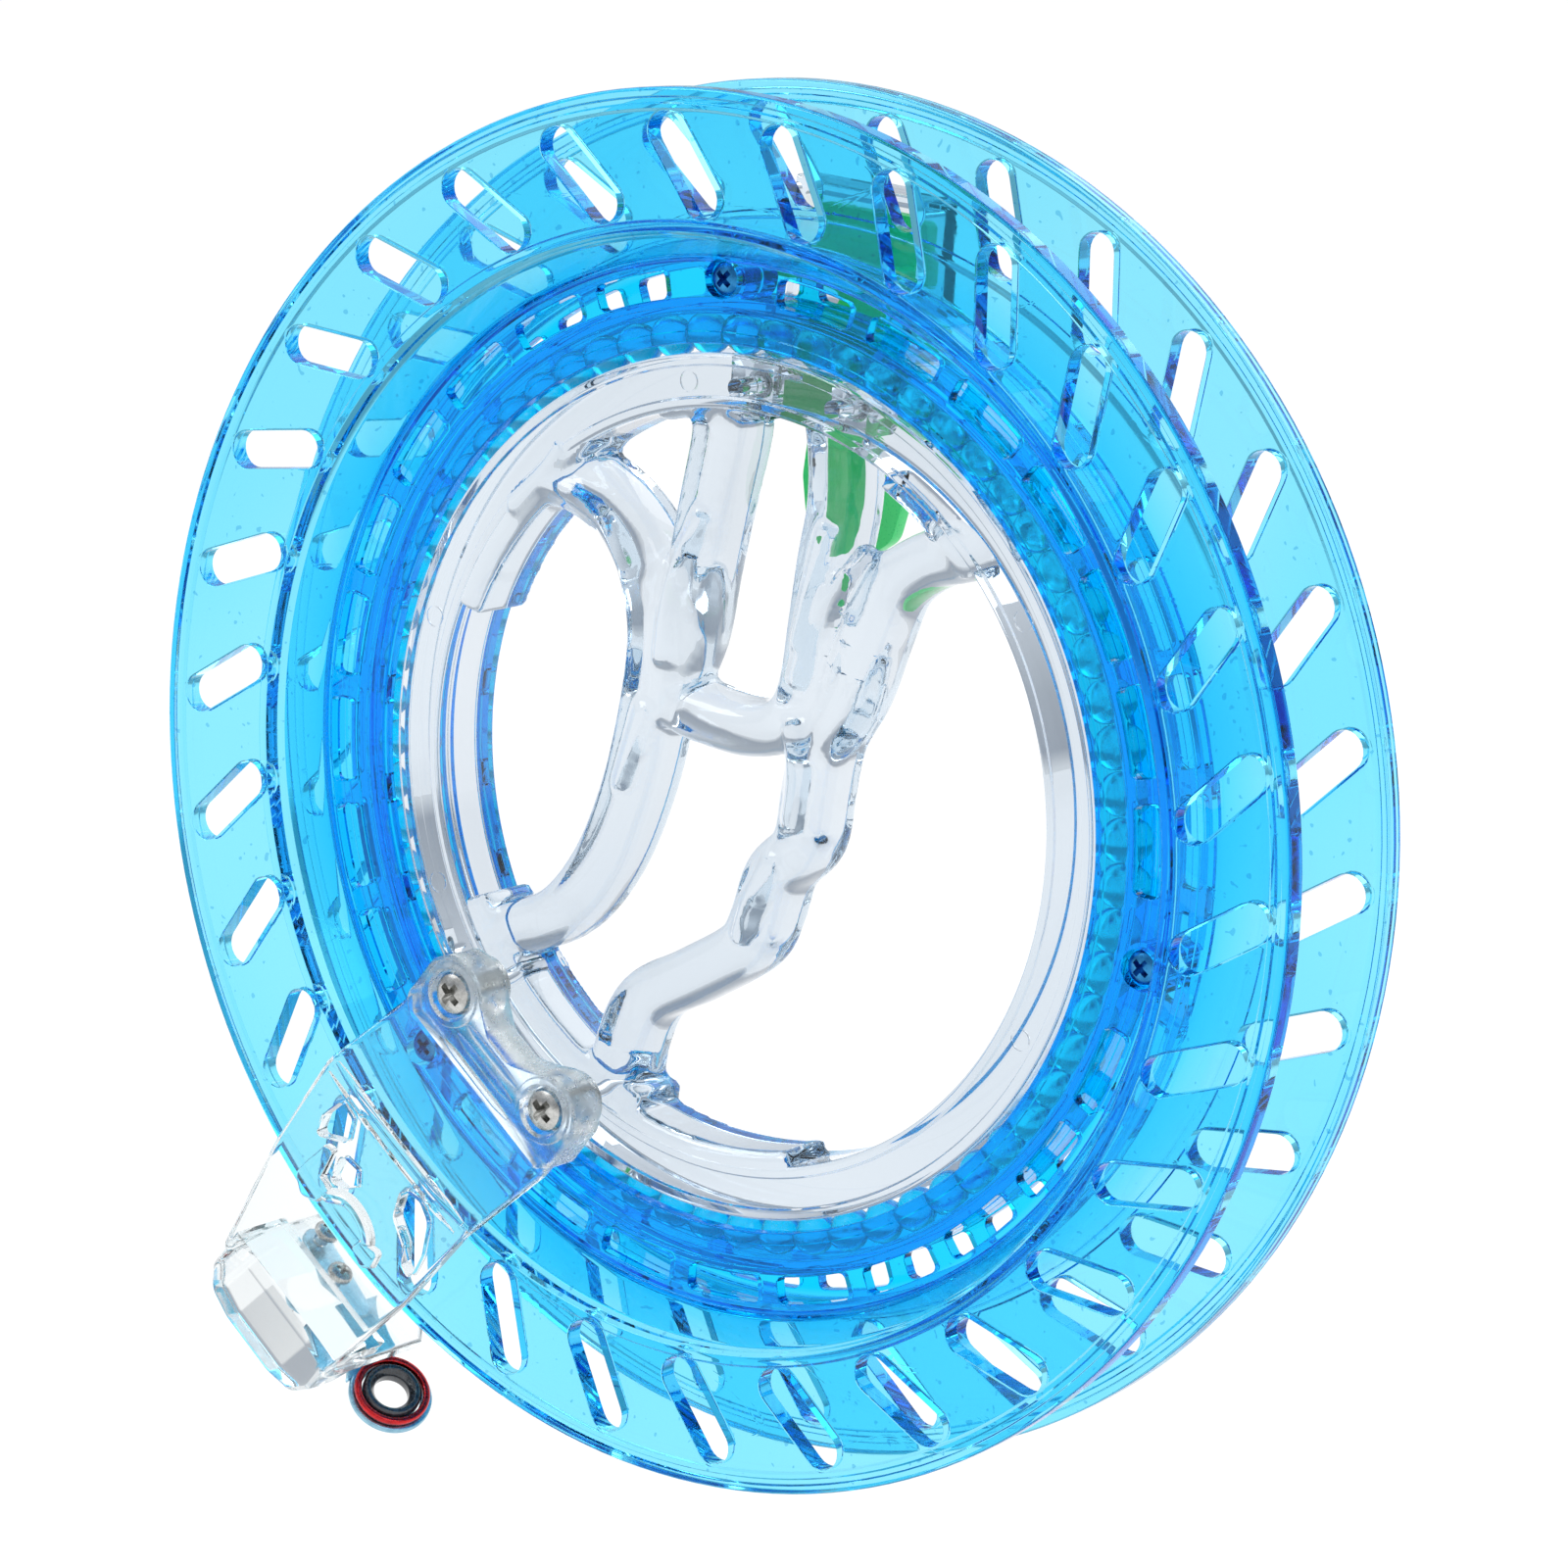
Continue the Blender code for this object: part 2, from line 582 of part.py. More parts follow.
def guide_frame(look):
    """A stamped frame: a foot on the arm's end wall, a neck, and a round eye for the insert."""
    half = GUIDE_PLATE / 2
    hole = BEZEL_INNER_RADIUS - 0.1
    bm = bmesh.new()
    eyelet_ring(bm, ((GUIDE_OUTER_RADIUS, -half), (GUIDE_OUTER_RADIUS, half), (hole, half), (hole, -half)))
    frame = finish(bm, "guide_frame", look)
    foot_low = ARM_END + GAP
    bm = bmesh.new()
    ARM.box(bm, (foot_low, foot_low + GUIDE_PLATE), (-13.4, 5.0), (7.4, 17.6))
    combine(frame, "UNION", bm, "guide_foot")
    centre, inward, across, rearward = guide_axes()
    bm = bmesh.new()
    rings = []
    for h in (-1, 1):
        radial = foot_low + half - h * (half - 0.05)
        ring = [ARM.point(radial, 4.0, 8.0), ARM.point(radial, 4.0, 16.6)]
        for lean in (3.6, -3.6):
            ring.append(centre - across * 5.9 + rearward * lean + inward * h * (half - 0.05))
        rings.append(ring)
    loft(bm, rings)
    combine(frame, "UNION", bm, "guide_neck")
    bm = bmesh.new()
    for side, depth in GUIDE_SCREWS:
        cylinder(bm, ARM.point(ARM_END - 1.0, side, depth), ARM.point(ARM_END + 4.0, side, depth), 1.3, 8)
    combine(frame, "DIFFERENCE", bm, "guide_foot_holes")
    return frame


def guide_bezel(look):
    face = GUIDE_PLATE / 2 + GAP
    bm = bmesh.new()
    eyelet_ring(bm, ((BEZEL_OUTER_RADIUS, face), (BEZEL_OUTER_RADIUS, face + 0.7),
                     (BEZEL_OUTER_RADIUS - 0.5, face + 1.2), (BEZEL_INNER_RADIUS + 0.4, face + 1.2),
                     (BEZEL_INNER_RADIUS, face + 0.8), (BEZEL_INNER_RADIUS, face)))
    finish(bm, "guide_bezel", look)


def guide_insert(look):
    face = GUIDE_PLATE / 2
    bm = bmesh.new()
    eyelet_ring(bm, ((INSERT_OUTER_RADIUS, -face), (INSERT_OUTER_RADIUS, face + 1.1),
                     (INSERT_OUTER_RADIUS - 0.7, face + 1.7), (INSERT_BORE_RADIUS + 0.5, face + 1.1),
                     (INSERT_BORE_RADIUS, face + 0.3), (INSERT_BORE_RADIUS, -face),
                     (INSERT_BORE_RADIUS + 0.5, -face - 0.6), (INSERT_OUTER_RADIUS - 0.6, -face - 0.6)))
    finish(bm, "guide_insert", look)


def guide_screws(look):
    for number, (side, depth) in enumerate(GUIDE_SCREWS, 1):
        bm = bmesh.new()
        start = ARM_END - ARM_END_WALL - 0.3 - 1.5
        screw(bm, ARM.point(start, side, depth), ARM.point(ARM_END + 2.4, side, depth), 2.2, 1.5, 0.95)
        finish(bm, f"guide_screw_{number}", look)


def brake_housing(look):
    """The clear guard behind the rear flange: cheeks for the pivot pin, side walls and a back plate."""
    inside = HOUSING_HALF_WIDTH - HOUSING_WALL
    outline = [
        (HOUSING_INNER, HUB_REAR_DEPTH + GAP), (BASE_OUTER, HUB_REAR_DEPTH + GAP), (BASE_OUTER, HOUSING_FRONT_DEPTH),
        (HOUSING_OUTER, HOUSING_FRONT_DEPTH), (HOUSING_OUTER, HOUSING_BACK_DEPTH), (74.0, HOUSING_BACK_DEPTH),
        (66.0, 35.6), (HOUSING_INNER, 33.4),
    ]
    bm = bmesh.new()
    BRAKE.profile(bm, outline, -HOUSING_HALF_WIDTH, HOUSING_HALF_WIDTH)
    housing = finish(bm, "brake_housing", look)
    bm = bmesh.new()
    BRAKE.box(bm, (71.4, HOUSING_OUTER - HOUSING_WALL), (-inside, inside),
              (28.0, HOUSING_BACK_DEPTH - HOUSING_BACK_PLATE))
    combine(housing, "DIFFERENCE", bm, "housing_chamber")
    bm = bmesh.new()
    BRAKE.box(bm, (50.0, 74.5), (-CHANNEL_HALF_WIDTH, CHANNEL_HALF_WIDTH), (CHANNEL_FLOOR_DEPTH, 45.0))
    combine(housing, "DIFFERENCE", bm, "housing_channel")
    bm = bmesh.new()
    cylinder(bm, BRAKE.point(PIVOT_RADIAL, -20.0, PIVOT_DEPTH), BRAKE.point(PIVOT_RADIAL, 20.0, PIVOT_DEPTH),
             PIN_RADIUS + 0.35, 10)
    for side in (-1, 1):
        cylinder(bm, BRAKE.point(HOUSING_SCREW_RADIAL, HOUSING_SCREW_SIDE * side, 22.0),
                 BRAKE.point(HOUSING_SCREW_RADIAL, HOUSING_SCREW_SIDE * side, 30.0), 1.5, 8)
    combine(housing, "DIFFERENCE", bm, "housing_holes")
    bm = bmesh.new()
    for side in (-1, 1):
        cylinder(bm, BRAKE.point(HOUSING_SCREW_RADIAL, HOUSING_SCREW_SIDE * side, HOUSING_SCREW_HEAD_DEPTH - 1.8),
                 BRAKE.point(HOUSING_SCREW_RADIAL, HOUSING_SCREW_SIDE * side, 38.0), 2.5, 12)
    combine(housing, "DIFFERENCE", bm, "housing_counterbores")
    return housing


def housing_screws(look):
    for number, side in enumerate((-1, 1), 1):
        bm = bmesh.new()
        screw(bm, BRAKE.point(HOUSING_SCREW_RADIAL, HOUSING_SCREW_SIDE * side, HOUSING_SCREW_HEAD_DEPTH),
              BRAKE.point(HOUSING_SCREW_RADIAL, HOUSING_SCREW_SIDE * side, 19.5), 2.15, 1.5, 1.1)
        finish(bm, f"housing_screw_{number}", look)


def brake_pin(look):
    bm = bmesh.new()
    cylinder(bm, BRAKE.point(PIVOT_RADIAL, -12.9, PIVOT_DEPTH), BRAKE.point(PIVOT_RADIAL, 12.9, PIVOT_DEPTH),
             PIN_RADIUS, 10)
    finish(bm, "brake_pin", look)


def lever_outline():
    """The lever seen from the front: a rounded thumb tab, a narrow stem and a broad shoe."""
    tab = [
        (TAB_OUTER, STEM_HALF_WIDTH), (54.5, 8.4), (50.0, TAB_HALF_WIDTH), (44.0, 9.6), (38.6, 7.4),
        (36.2, 4.0), (TAB_INNER, 0.0),
    ]
    shoe = [(SHOE_INNER - 3.0, STEM_HALF_WIDTH), (SHOE_INNER, SHOE_HALF_WIDTH), (SHOE_OUTER - 1.0, SHOE_HALF_WIDTH),
            (SHOE_OUTER, SHOE_HALF_WIDTH - 1.0)]
    side = list(reversed(tab)) + shoe
    return side + [(r, -s) for r, s in reversed(side[1:])]


def lever_side():
    """The lever seen from its side: the tab and the shoe both stand back from the stem at the pivot."""
    stem_front = PIVOT_DEPTH - LEVER_THICKNESS / 2
    stem_back = PIVOT_DEPTH + LEVER_THICKNESS / 2
    return [
        (30.0, TAB_DEPTH), (54.4, TAB_DEPTH), (59.4, stem_front), (69.4, stem_front), (76.6, SHOE_DEPTH),
        (95.0, SHOE_DEPTH), (95.0, SHOE_DEPTH + LEVER_THICKNESS), (75.4, SHOE_DEPTH + LEVER_THICKNESS),
        (68.2, stem_back), (60.9, stem_back), (55.9, TAB_DEPTH + LEVER_THICKNESS), (30.0, TAB_DEPTH + LEVER_THICKNESS),
    ]


def brake_lever(look, pivot):
    bm = bmesh.new()
    BRAKE.profile(bm, lever_side(), -20.0, 20.0)
    lever = finish(bm, "brake_lever", look, pivot)
    bm = bmesh.new()
    BRAKE.plan(bm, lever_outline(), 20.0, 50.0)
    combine(lever, "INTERSECT", bm, "lever_plan")
    bm = bmesh.new()
    cylinder(bm, BRAKE.point(PIVOT_RADIAL, -STEM_HALF_WIDTH + 0.1, PIVOT_DEPTH),
             BRAKE.point(PIVOT_RADIAL, STEM_HALF_WIDTH - 0.1, PIVOT_DEPTH), LEVER_BARREL_RADIUS, 12)
    for side in (-1, 1):
        low, high = sorted((TOOTH_SIDE[0] * side, TOOTH_SIDE[1] * side))
        BRAKE.box(bm, TOOTH_RADIAL, (low, high), (TOOTH_TIP_DEPTH, SHOE_DEPTH + 1.3))
    combine(lever, "UNION", bm, "lever_barrel_and_teeth")
    bm = bmesh.new()
    cylinder(bm, BRAKE.point(PIVOT_RADIAL, -9.0, PIVOT_DEPTH), BRAKE.point(PIVOT_RADIAL, 9.0, PIVOT_DEPTH),
             PIN_RADIUS + 0.35, 10)
    combine(lever, "DIFFERENCE", bm, "lever_bore")
    bm = bmesh.new()
    BRAKE.box(bm, (PIVOT_RADIAL - 3.1, PIVOT_RADIAL + 3.1), (SPRING_NOTCH, 9.0), (20.0, 40.0))
    combine(lever, "DIFFERENCE", bm, "lever_spring_notch")


def brake_spring(look):
    """A torsion spring round the pin, in the lever's notch, with one leg against the channel's floor."""
    turns = 3
    per_turn = 10
    first = SPRING_NOTCH + 0.8
    last = STEM_HALF_WIDTH + 0.2
    floor = CHANNEL_FLOOR_DEPTH + 0.3 + SPRING_WIRE
    route = [(PIVOT_RADIAL - 5.4, last, floor)]
    for step in range(turns * per_turn + 1):
        angle = math.radians(-90.0) + 2 * math.pi * step / per_turn
        side = last + (first - last) * step / (turns * per_turn)
        route.append((PIVOT_RADIAL + SPRING_RADIUS * math.cos(angle), side,
                      PIVOT_DEPTH + SPRING_RADIUS * math.sin(angle)))
    route.append((PIVOT_RADIAL + 4.6, first, PIVOT_DEPTH - SPRING_RADIUS))
    curve = bpy.data.curves.new("brake_spring", "CURVE")
    curve.dimensions = "3D"
    curve.bevel_depth = SPRING_WIRE * MM
    curve.bevel_resolution = 1
    curve.use_fill_caps = True
    spline = curve.splines.new("POLY")
    spline.points.add(len(route) - 1)
    for target, point in zip(spline.points, route):
        target.co = (*(BRAKE.point(*point) * MM), 1.0)
    curve.materials.append(look)
    bpy.context.scene.collection.objects.link(bpy.data.objects.new("brake_spring", curve))


def build():
    for old in list(bpy.data.objects):
        bpy.data.objects.remove(old)
    blue = material("clear blue polycarbonate", (0.05, 0.52, 0.95), 0.06, clear=0.9)
    clear = material("clear acrylic", (0.93, 0.95, 0.96), 0.05, clear=0.95)
    bead = material("frosted ball plastic", (0.80, 0.93, 0.98), 0.25, clear=0.6)
    green = material("green brake plastic", (0.10, 0.78, 0.28), 0.35)
    steel = material("zinc-plated steel", (0.62, 0.62, 0.60), 0.32, metallic=1.0)
    anodised = material("blue-grey anodised metal", (0.30, 0.47, 0.58), 0.35, metallic=0.9)
    red = material("red anodised bezel", (0.62, 0.03, 0.04), 0.3, metallic=0.5)
    ceramic = material("dark ceramic", (0.05, 0.055, 0.065), 0.2)

    hub_grip(clear)
    guide_arm(clear)
    arm_screws(steel)
    guide_frame(anodised)
    guide_bezel(red)
    guide_insert(ceramic)
    guide_screws(steel)
    brake_housing(clear)
    housing_screws(steel)
    brake_pin(steel)
    brake_spring(steel)

    brake_lever(green, tuple(BRAKE.point(PIVOT_RADIAL, 0.0, PIVOT_DEPTH)))

    spool_half("spool_front", True, blue)
    spool_half("spool_rear", False, blue)
    spool_screws(steel)
    ball_train(bead)


build()
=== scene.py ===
"""Looks of the kite-line reel: fine meshes, plastics, metal and studio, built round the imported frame."""
import json
import math
import random
from math import atan2, ceil, cos, hypot, pi, radians, sin, sqrt, tan

import bmesh
import bpy
from mathutils import Matrix, Vector


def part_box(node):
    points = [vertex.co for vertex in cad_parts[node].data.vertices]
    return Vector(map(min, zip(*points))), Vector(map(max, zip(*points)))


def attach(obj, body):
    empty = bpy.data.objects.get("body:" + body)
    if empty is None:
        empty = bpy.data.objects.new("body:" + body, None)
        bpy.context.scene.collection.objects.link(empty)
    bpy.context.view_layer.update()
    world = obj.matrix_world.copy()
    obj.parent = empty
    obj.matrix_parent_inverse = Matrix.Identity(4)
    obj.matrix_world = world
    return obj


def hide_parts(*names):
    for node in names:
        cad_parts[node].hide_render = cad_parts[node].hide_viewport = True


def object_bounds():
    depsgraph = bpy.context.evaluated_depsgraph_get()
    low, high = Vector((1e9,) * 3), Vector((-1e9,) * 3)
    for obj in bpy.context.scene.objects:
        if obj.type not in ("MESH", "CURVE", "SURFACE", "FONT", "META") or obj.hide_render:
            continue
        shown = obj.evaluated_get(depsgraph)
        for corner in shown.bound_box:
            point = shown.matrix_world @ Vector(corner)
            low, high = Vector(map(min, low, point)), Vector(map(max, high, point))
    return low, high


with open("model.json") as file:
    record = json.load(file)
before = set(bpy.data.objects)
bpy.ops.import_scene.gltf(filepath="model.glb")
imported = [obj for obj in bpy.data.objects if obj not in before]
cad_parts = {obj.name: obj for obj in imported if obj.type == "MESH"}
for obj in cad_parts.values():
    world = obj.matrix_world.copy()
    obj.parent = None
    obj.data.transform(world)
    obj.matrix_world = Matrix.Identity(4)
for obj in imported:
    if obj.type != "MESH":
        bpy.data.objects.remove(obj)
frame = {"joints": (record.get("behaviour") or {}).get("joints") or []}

CAD_BOX = [list(corner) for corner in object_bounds()]
MM = 0.001
random.seed(7)

# ---- frame sizes, read from the CAD nodes
SPOOL_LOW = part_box("spool_front")[0]
SPOOL_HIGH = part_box("spool_rear")[1]
FRONT_Y = SPOOL_LOW.y / MM
WIDTH = (SPOOL_HIGH.y - SPOOL_LOW.y) / MM
HUB_LOW, HUB_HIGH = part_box("hub_grip")
HUB_FRONT = HUB_LOW.y / MM - FRONT_Y
HUB_REAR = HUB_HIGH.y / MM - FRONT_Y
MID_DEPTH = WIDTH / 2
RIM = 110.0
HUB_R = 68.6
JOINTS = {joint["name"]: joint for joint in frame["joints"]}
PIVOT = Vector(JOINTS["brake_hinge"]["pos_m"]) / MM

ARM_ANGLE = 229.0
BRAKE_ANGLE = math.degrees(atan2(PIVOT.z, PIVOT.x))
PIVOT_RADIAL = hypot(PIVOT.x, PIVOT.z)
PIVOT_DEPTH = PIVOT.y - FRONT_Y
PIN_HOLE = 1.55

# Screw places: distances out and sideways on the arm's and the brake's line, and (side, depth) in the wall
ARM_SCREW = (60.7, 12.6)
HOUSING_SCREW = (62.0, 9.4)
GUIDE_SCREWS = ((-10.0, 14.4), (-1.8, 10.6))
BOSS_RADIUS = 80.2


def y_of(depth):
    return FRONT_Y + depth


def polar(radius, degrees):
    angle = radians(degrees)
    return radius * cos(angle), radius * sin(angle)


# ---- mesh helpers
def link(bm, name, sharp=16.0):
    """Turns a millimetre bmesh into a smooth-shaded object in metres."""
    bmesh.ops.recalc_face_normals(bm, faces=bm.faces[:])
    bmesh.ops.scale(bm, verts=bm.verts[:], vec=(MM, MM, MM))
    mesh = bpy.data.meshes.new(name)
    bm.to_mesh(mesh)
    bm.free()
    made = bpy.data.objects.new(name, mesh)
    bpy.context.scene.collection.objects.link(made)
    shade(made, sharp)
    return made


def shade(obj, sharp=16.0):
    obj.data.shade_smooth()
    obj.data.set_sharp_from_angle(angle=radians(sharp))


def settle(obj, sharp=16.0):
    """Bakes the modifiers into the mesh."""
    graph = bpy.context.evaluated_depsgraph_get()
    mesh = bpy.data.meshes.new_from_object(obj.evaluated_get(graph))
    obj.modifiers.clear()
    obj.data = mesh
    shade(obj, sharp)
    return obj


def combine(target, operation, other, sharp):
    modifier = target.modifiers.new("join", "BOOLEAN")
    modifier.operation = operation
    modifier.solver = "EXACT"
    modifier.object = other
    settle(target, sharp)
    bpy.data.objects.remove(other)


def join(target, bm, name, sharp=24.0):
    combine(target, "UNION", link(bm, name), sharp)


def cut(target, bm, name, sharp=24.0):
    combine(target, "DIFFERENCE", link(bm, name), sharp)


def weigh_normals(obj):
    """Lets large faces keep their own normals, so that flat clear plates don't bend what shows through."""
    modifier = obj.modifiers.new("flat_faces", "WEIGHTED_NORMAL")
    modifier.keep_sharp = True
    modifier.weight = 90
    return obj


def loft(bm, rings, loop=False, caps=True):
    made = [[bm.verts.new(point) for point in ring] for ring in rings]
    pairs = list(zip(made, made[1:]))
    if loop:
        pairs.append((made[-1], made[0]))
    for first, second in pairs:
        for i in range(len(first)):
            j = (i + 1) % len(first)
            bm.faces.new((first[i], first[j], second[j], second[i]))
    if caps and not loop:
        bm.faces.new(made[0])
        bm.faces.new(list(reversed(made[-1])))


def rounded(corners, step=12.0, closed=True):
    """A polyline through (a, b, fillet radius) corners, with each corner turned into an arc."""
    out = []
    count = len(corners)
    for i, (a, b, radius) in enumerate(corners):
        here = Vector((a, b))
        if radius <= 0 or (not closed and i in (0, count - 1)):
            out.append(here)
            continue
        back = Vector(corners[i - 1][:2]) - here
        ahead = Vector(corners[(i + 1) % count][:2]) - here
        reach = min(back.length, ahead.length) * 0.49
        back.normalize()
        ahead.normalize()
        spread = back.angle(ahead)
        if spread > radians(179.0):
            out.append(here)
            continue
        size = min(radius, reach * tan(spread / 2))
        centre = here + (back + ahead).normalized() * size / sin(spread / 2)
        first = here + back * size / tan(spread / 2) - centre
        last = here + ahead * size / tan(spread / 2) - centre
        steps = max(2, ceil(math.degrees(pi - spread) / step))
        turn = first.angle_signed(last)
        for k in range(steps + 1):
            angle = -turn * k / steps
            out.append(centre + Vector((first.x * cos(angle) - first.y * sin(angle),
                                        first.x * sin(angle) + first.y * cos(angle))))
    return out


def rounded_box(low, high, fillet, step):
    (a, b), (c, d) = low, high
    return rounded(((a, b, fillet), (c, b, fillet), (c, d, fillet), (a, d, fillet)), step)


def mirrored(side, step):
    """A closed outline from (out, side, fillet) corners on one side and their mirror image."""
    return rounded([(a, -b, f) for a, b, f in side] + [(a, b, f) for a, b, f in reversed(side)], step)


def circle(count):
    """(cosine, sine) of evenly spaced angles."""
    return [(cos(2 * pi * k / count), sin(2 * pi * k / count)) for k in range(count)]


def lathe(bm, profile, segments=180, phase=0.37):
    """Turns (radius, depth) points about the spool's axis."""
    rings = []
    for step in range(segments):
        angle = 2 * pi * (step + phase) / segments
        rings.append([(p[0] * cos(angle), y_of(p[1]), p[0] * sin(angle)) for p in profile])
    loft(bm, rings, loop=True)


def turned(bm, start, axis, profile, segments=32, loop=False):
    """Turns (radius, distance) points about an axis that leaves start. An open profile gets end caps."""
    axis = Vector(axis).normalized()
    across = axis.orthogonal().normalized()
    other = axis.cross(across)
    spokes = [across * c + other * s for c, s in circle(segments)]
    loft(bm, [[start + spoke * r + axis * h for spoke in spokes] for r, h in profile]
         if not loop else [[start + spoke * r + axis * h for r, h in profile] for spoke in spokes], loop=loop)


class Radial:
    """Coordinates on a radial line: distance out, distance sideways and depth."""

    def __init__(self, degrees):
        angle = radians(degrees)
        self.out = Vector((cos(angle), 0.0, sin(angle)))
        self.side = Vector((-sin(angle), 0.0, cos(angle)))

    def point(self, out, side, depth):
        return self.out * out + self.side * side + Vector((0.0, y_of(depth), 0.0))

    def plan(self, bm, outline, levels):
        """Lofts an (out, side) outline through (depth, shrink) levels; shrink pulls it towards its middle."""
        middle = sum((Vector(p) for p in outline), Vector((0.0, 0.0))) / len(outline)
        rings = []
        for depth, shrink in levels:
            ring = []
            for p in outline:
                spoke = Vector(p) - middle
                spoke *= max(0.0, 1.0 - shrink / spoke.length)
                ring.append(self.point(middle.x + spoke.x, middle.y + spoke.y, depth))
            rings.append(ring)
        loft(bm, rings)

    def profile(self, bm, outline, low, high):
        loft(bm, [[self.point(p[0], side, p[1]) for p in outline] for side in (low, high)])

    def box(self, bm, out, side, depth):
        self.plan(bm, ((out[0], side[0]), (out[1], side[0]), (out[1], side[1]), (out[0], side[1])),
                  ((depth[0], 0.0), (depth[1], 0.0)))


ARM = Radial(ARM_ANGLE)
BRAKE = Radial(BRAKE_ANGLE)


def arm_screw_at(side, depth):
    return ARM.point(ARM_SCREW[0], ARM_SCREW[1] * side, depth)


def housing_screw_at(side, depth):
    return BRAKE.point(HOUSING_SCREW[0], HOUSING_SCREW[1] * side, depth)


def heading(points, i):
    return (points[min(i + 1, len(points) - 1)] - points[max(i - 1, 0)]).normalized()


def denser(points, step):
    """The points of a polyline with its long spans split up, all but the last one."""
    out = []
    for p, q in zip(points, points[1:]):
        parts = max(1, round((q - p).length / step))
        out += [p.lerp(q, k / parts) for k in range(parts)]
    return out


def smooth_route(points, per_span=6):
    """A Catmull-Rom curve through the points."""
    padded = [Vector(points[0]) * 2 - Vector(points[1])]
    padded += [Vector(p) for p in points]
    padded.append(Vector(points[-1]) * 2 - Vector(points[-2]))
    route = []
    for i in range(1, len(padded) - 2):
        a, b, c, d = padded[i - 1: i + 3]
        for step in range(per_span):
            t = step / per_span
            route.append(((2 * b) + (c - a) * t + (2 * a - 5 * b + 4 * c - d) * t ** 2
                          + (3 * b - a - 3 * c + d) * t ** 3) * 0.5)
    route.append(Vector(points[-1]))
    return route


# ---- materials
BUMP_UNIT = 0.001


def set_inputs(node, values):
    for key, value in values.items():
        node.inputs[key].default_value = value


def new_material(name):
    made = bpy.data.materials.new(name)
    made.use_nodes = True
    return made, made.node_tree, made.node_tree.nodes["Principled BSDF"]


def add(tree, kind, **settings):
    node = tree.nodes.new(kind)
    for key, value in settings.items():
        if key in node.inputs:
            node.inputs[key].default_value = value
        else:
            setattr(node, key, value)
    return node


def coords(tree, scale=(1.0, 1.0, 1.0)):
    """Object coordinates in metres, optionally stretched."""
    source = add(tree, "ShaderNodeTexCoord")
    mapping = add(tree, "ShaderNodeMapping")
    mapping.inputs["Scale"].default_value = scale
    tree.links.new(source.outputs["Object"], mapping.inputs["Vector"])
    return mapping.outputs["Vector"]


def noise(tree, vector, scale, detail=3.0, roughness=0.5):
    node = add(tree, "ShaderNodeTexNoise")
    set_inputs(node, {"Scale": scale, "Detail": detail, "Roughness": roughness})
    tree.links.new(vector, node.inputs["Vector"])
    return node.outputs["Fac"]


def ramp(tree, value, stops):
    node = add(tree, "ShaderNodeValToRGB")
    for end, (position, colour) in zip(node.color_ramp.elements, (stops[0], stops[-1])):
        end.position, end.color = position, (*colour, 1.0)
    for position, colour in stops[1:-1]:
        node.color_ramp.elements.new(position).color = (*colour, 1.0)
    tree.links.new(value, node.inputs["Fac"])
    return node.outputs["Color"]


def remap(tree, value, low, high, to_low, to_high):
    node = add(tree, "ShaderNodeMapRange")
    set_inputs(node, {"From Min": low, "From Max": high, "To Min": to_low, "To Max": to_high})
    tree.links.new(value, node.inputs["Value"])
    return node.outputs["Result"]


def bump(tree, shader, layers):
    """Adds up (height, weight) layers, weights in metres, and bumps the shader's normal with the sum."""
    total = None
    for height, weight in layers:
        scaled = add(tree, "ShaderNodeMath", operation="MULTIPLY")
        tree.links.new(height, scaled.inputs[0])
        scaled.inputs[1].default_value = weight / BUMP_UNIT
        if total:
            both = add(tree, "ShaderNodeMath", operation="ADD")
            tree.links.new(total, both.inputs[0])
            tree.links.new(scaled.outputs["Value"], both.inputs[1])
            scaled = both
        total = scaled.outputs["Value"]
    node = add(tree, "ShaderNodeBump")
    set_inputs(node, {"Strength": 1.0, "Distance": BUMP_UNIT})
    tree.links.new(total, node.inputs["Height"])
    tree.links.new(node.outputs["Normal"], shader.inputs["Normal"])


def multiplied(tree, first, second):
    mix = add(tree, "ShaderNodeMix", data_type="RGBA", blend_type="MULTIPLY")
    mix.inputs["Factor"].default_value = 1.0
    # Sockets 6, 7 and 2 are the colour ones
    tree.links.new(first, mix.inputs[6])
    tree.links.new(second, mix.inputs[7])
    return mix.outputs[2]


def painted_drum_shade(tree, colour, drum_shade_tint):
    """Multiplies in painted shade: a deeper tint towards the spool's axis, for the dimmer light inside the
    drum, where the walls are also thick.
    """
    source = add(tree, "ShaderNodeTexCoord")
    flat = add(tree, "ShaderNodeVectorMath", operation="MULTIPLY")
    flat.inputs[1].default_value = (1.0, 0.0, 1.0)
    tree.links.new(source.outputs["Object"], flat.inputs[0])
    radius = add(tree, "ShaderNodeVectorMath", operation="LENGTH")
    tree.links.new(flat.outputs["Vector"], radius.inputs[0])
    share = remap(tree, radius.outputs["Value"], 0.0815, 0.0895, 0.0, 1.0)
    shade_by_radius = ramp(tree, share, ((0.0, drum_shade_tint), (1.0, (1.0, 1.0, 1.0))))
    return multiplied(tree, colour, shade_by_radius)


def dust(tree, at):
    """Sparse dark specks trapped in the moulding: white everywhere but at a few points."""
    peaks = noise(tree, at, 760.0, 0.0)
    return ramp(tree, peaks, ((0.0, (1.0, 1.0, 1.0)), (0.80, (1.0, 1.0, 1.0)), (0.82, (0.35, 0.55, 0.75))))


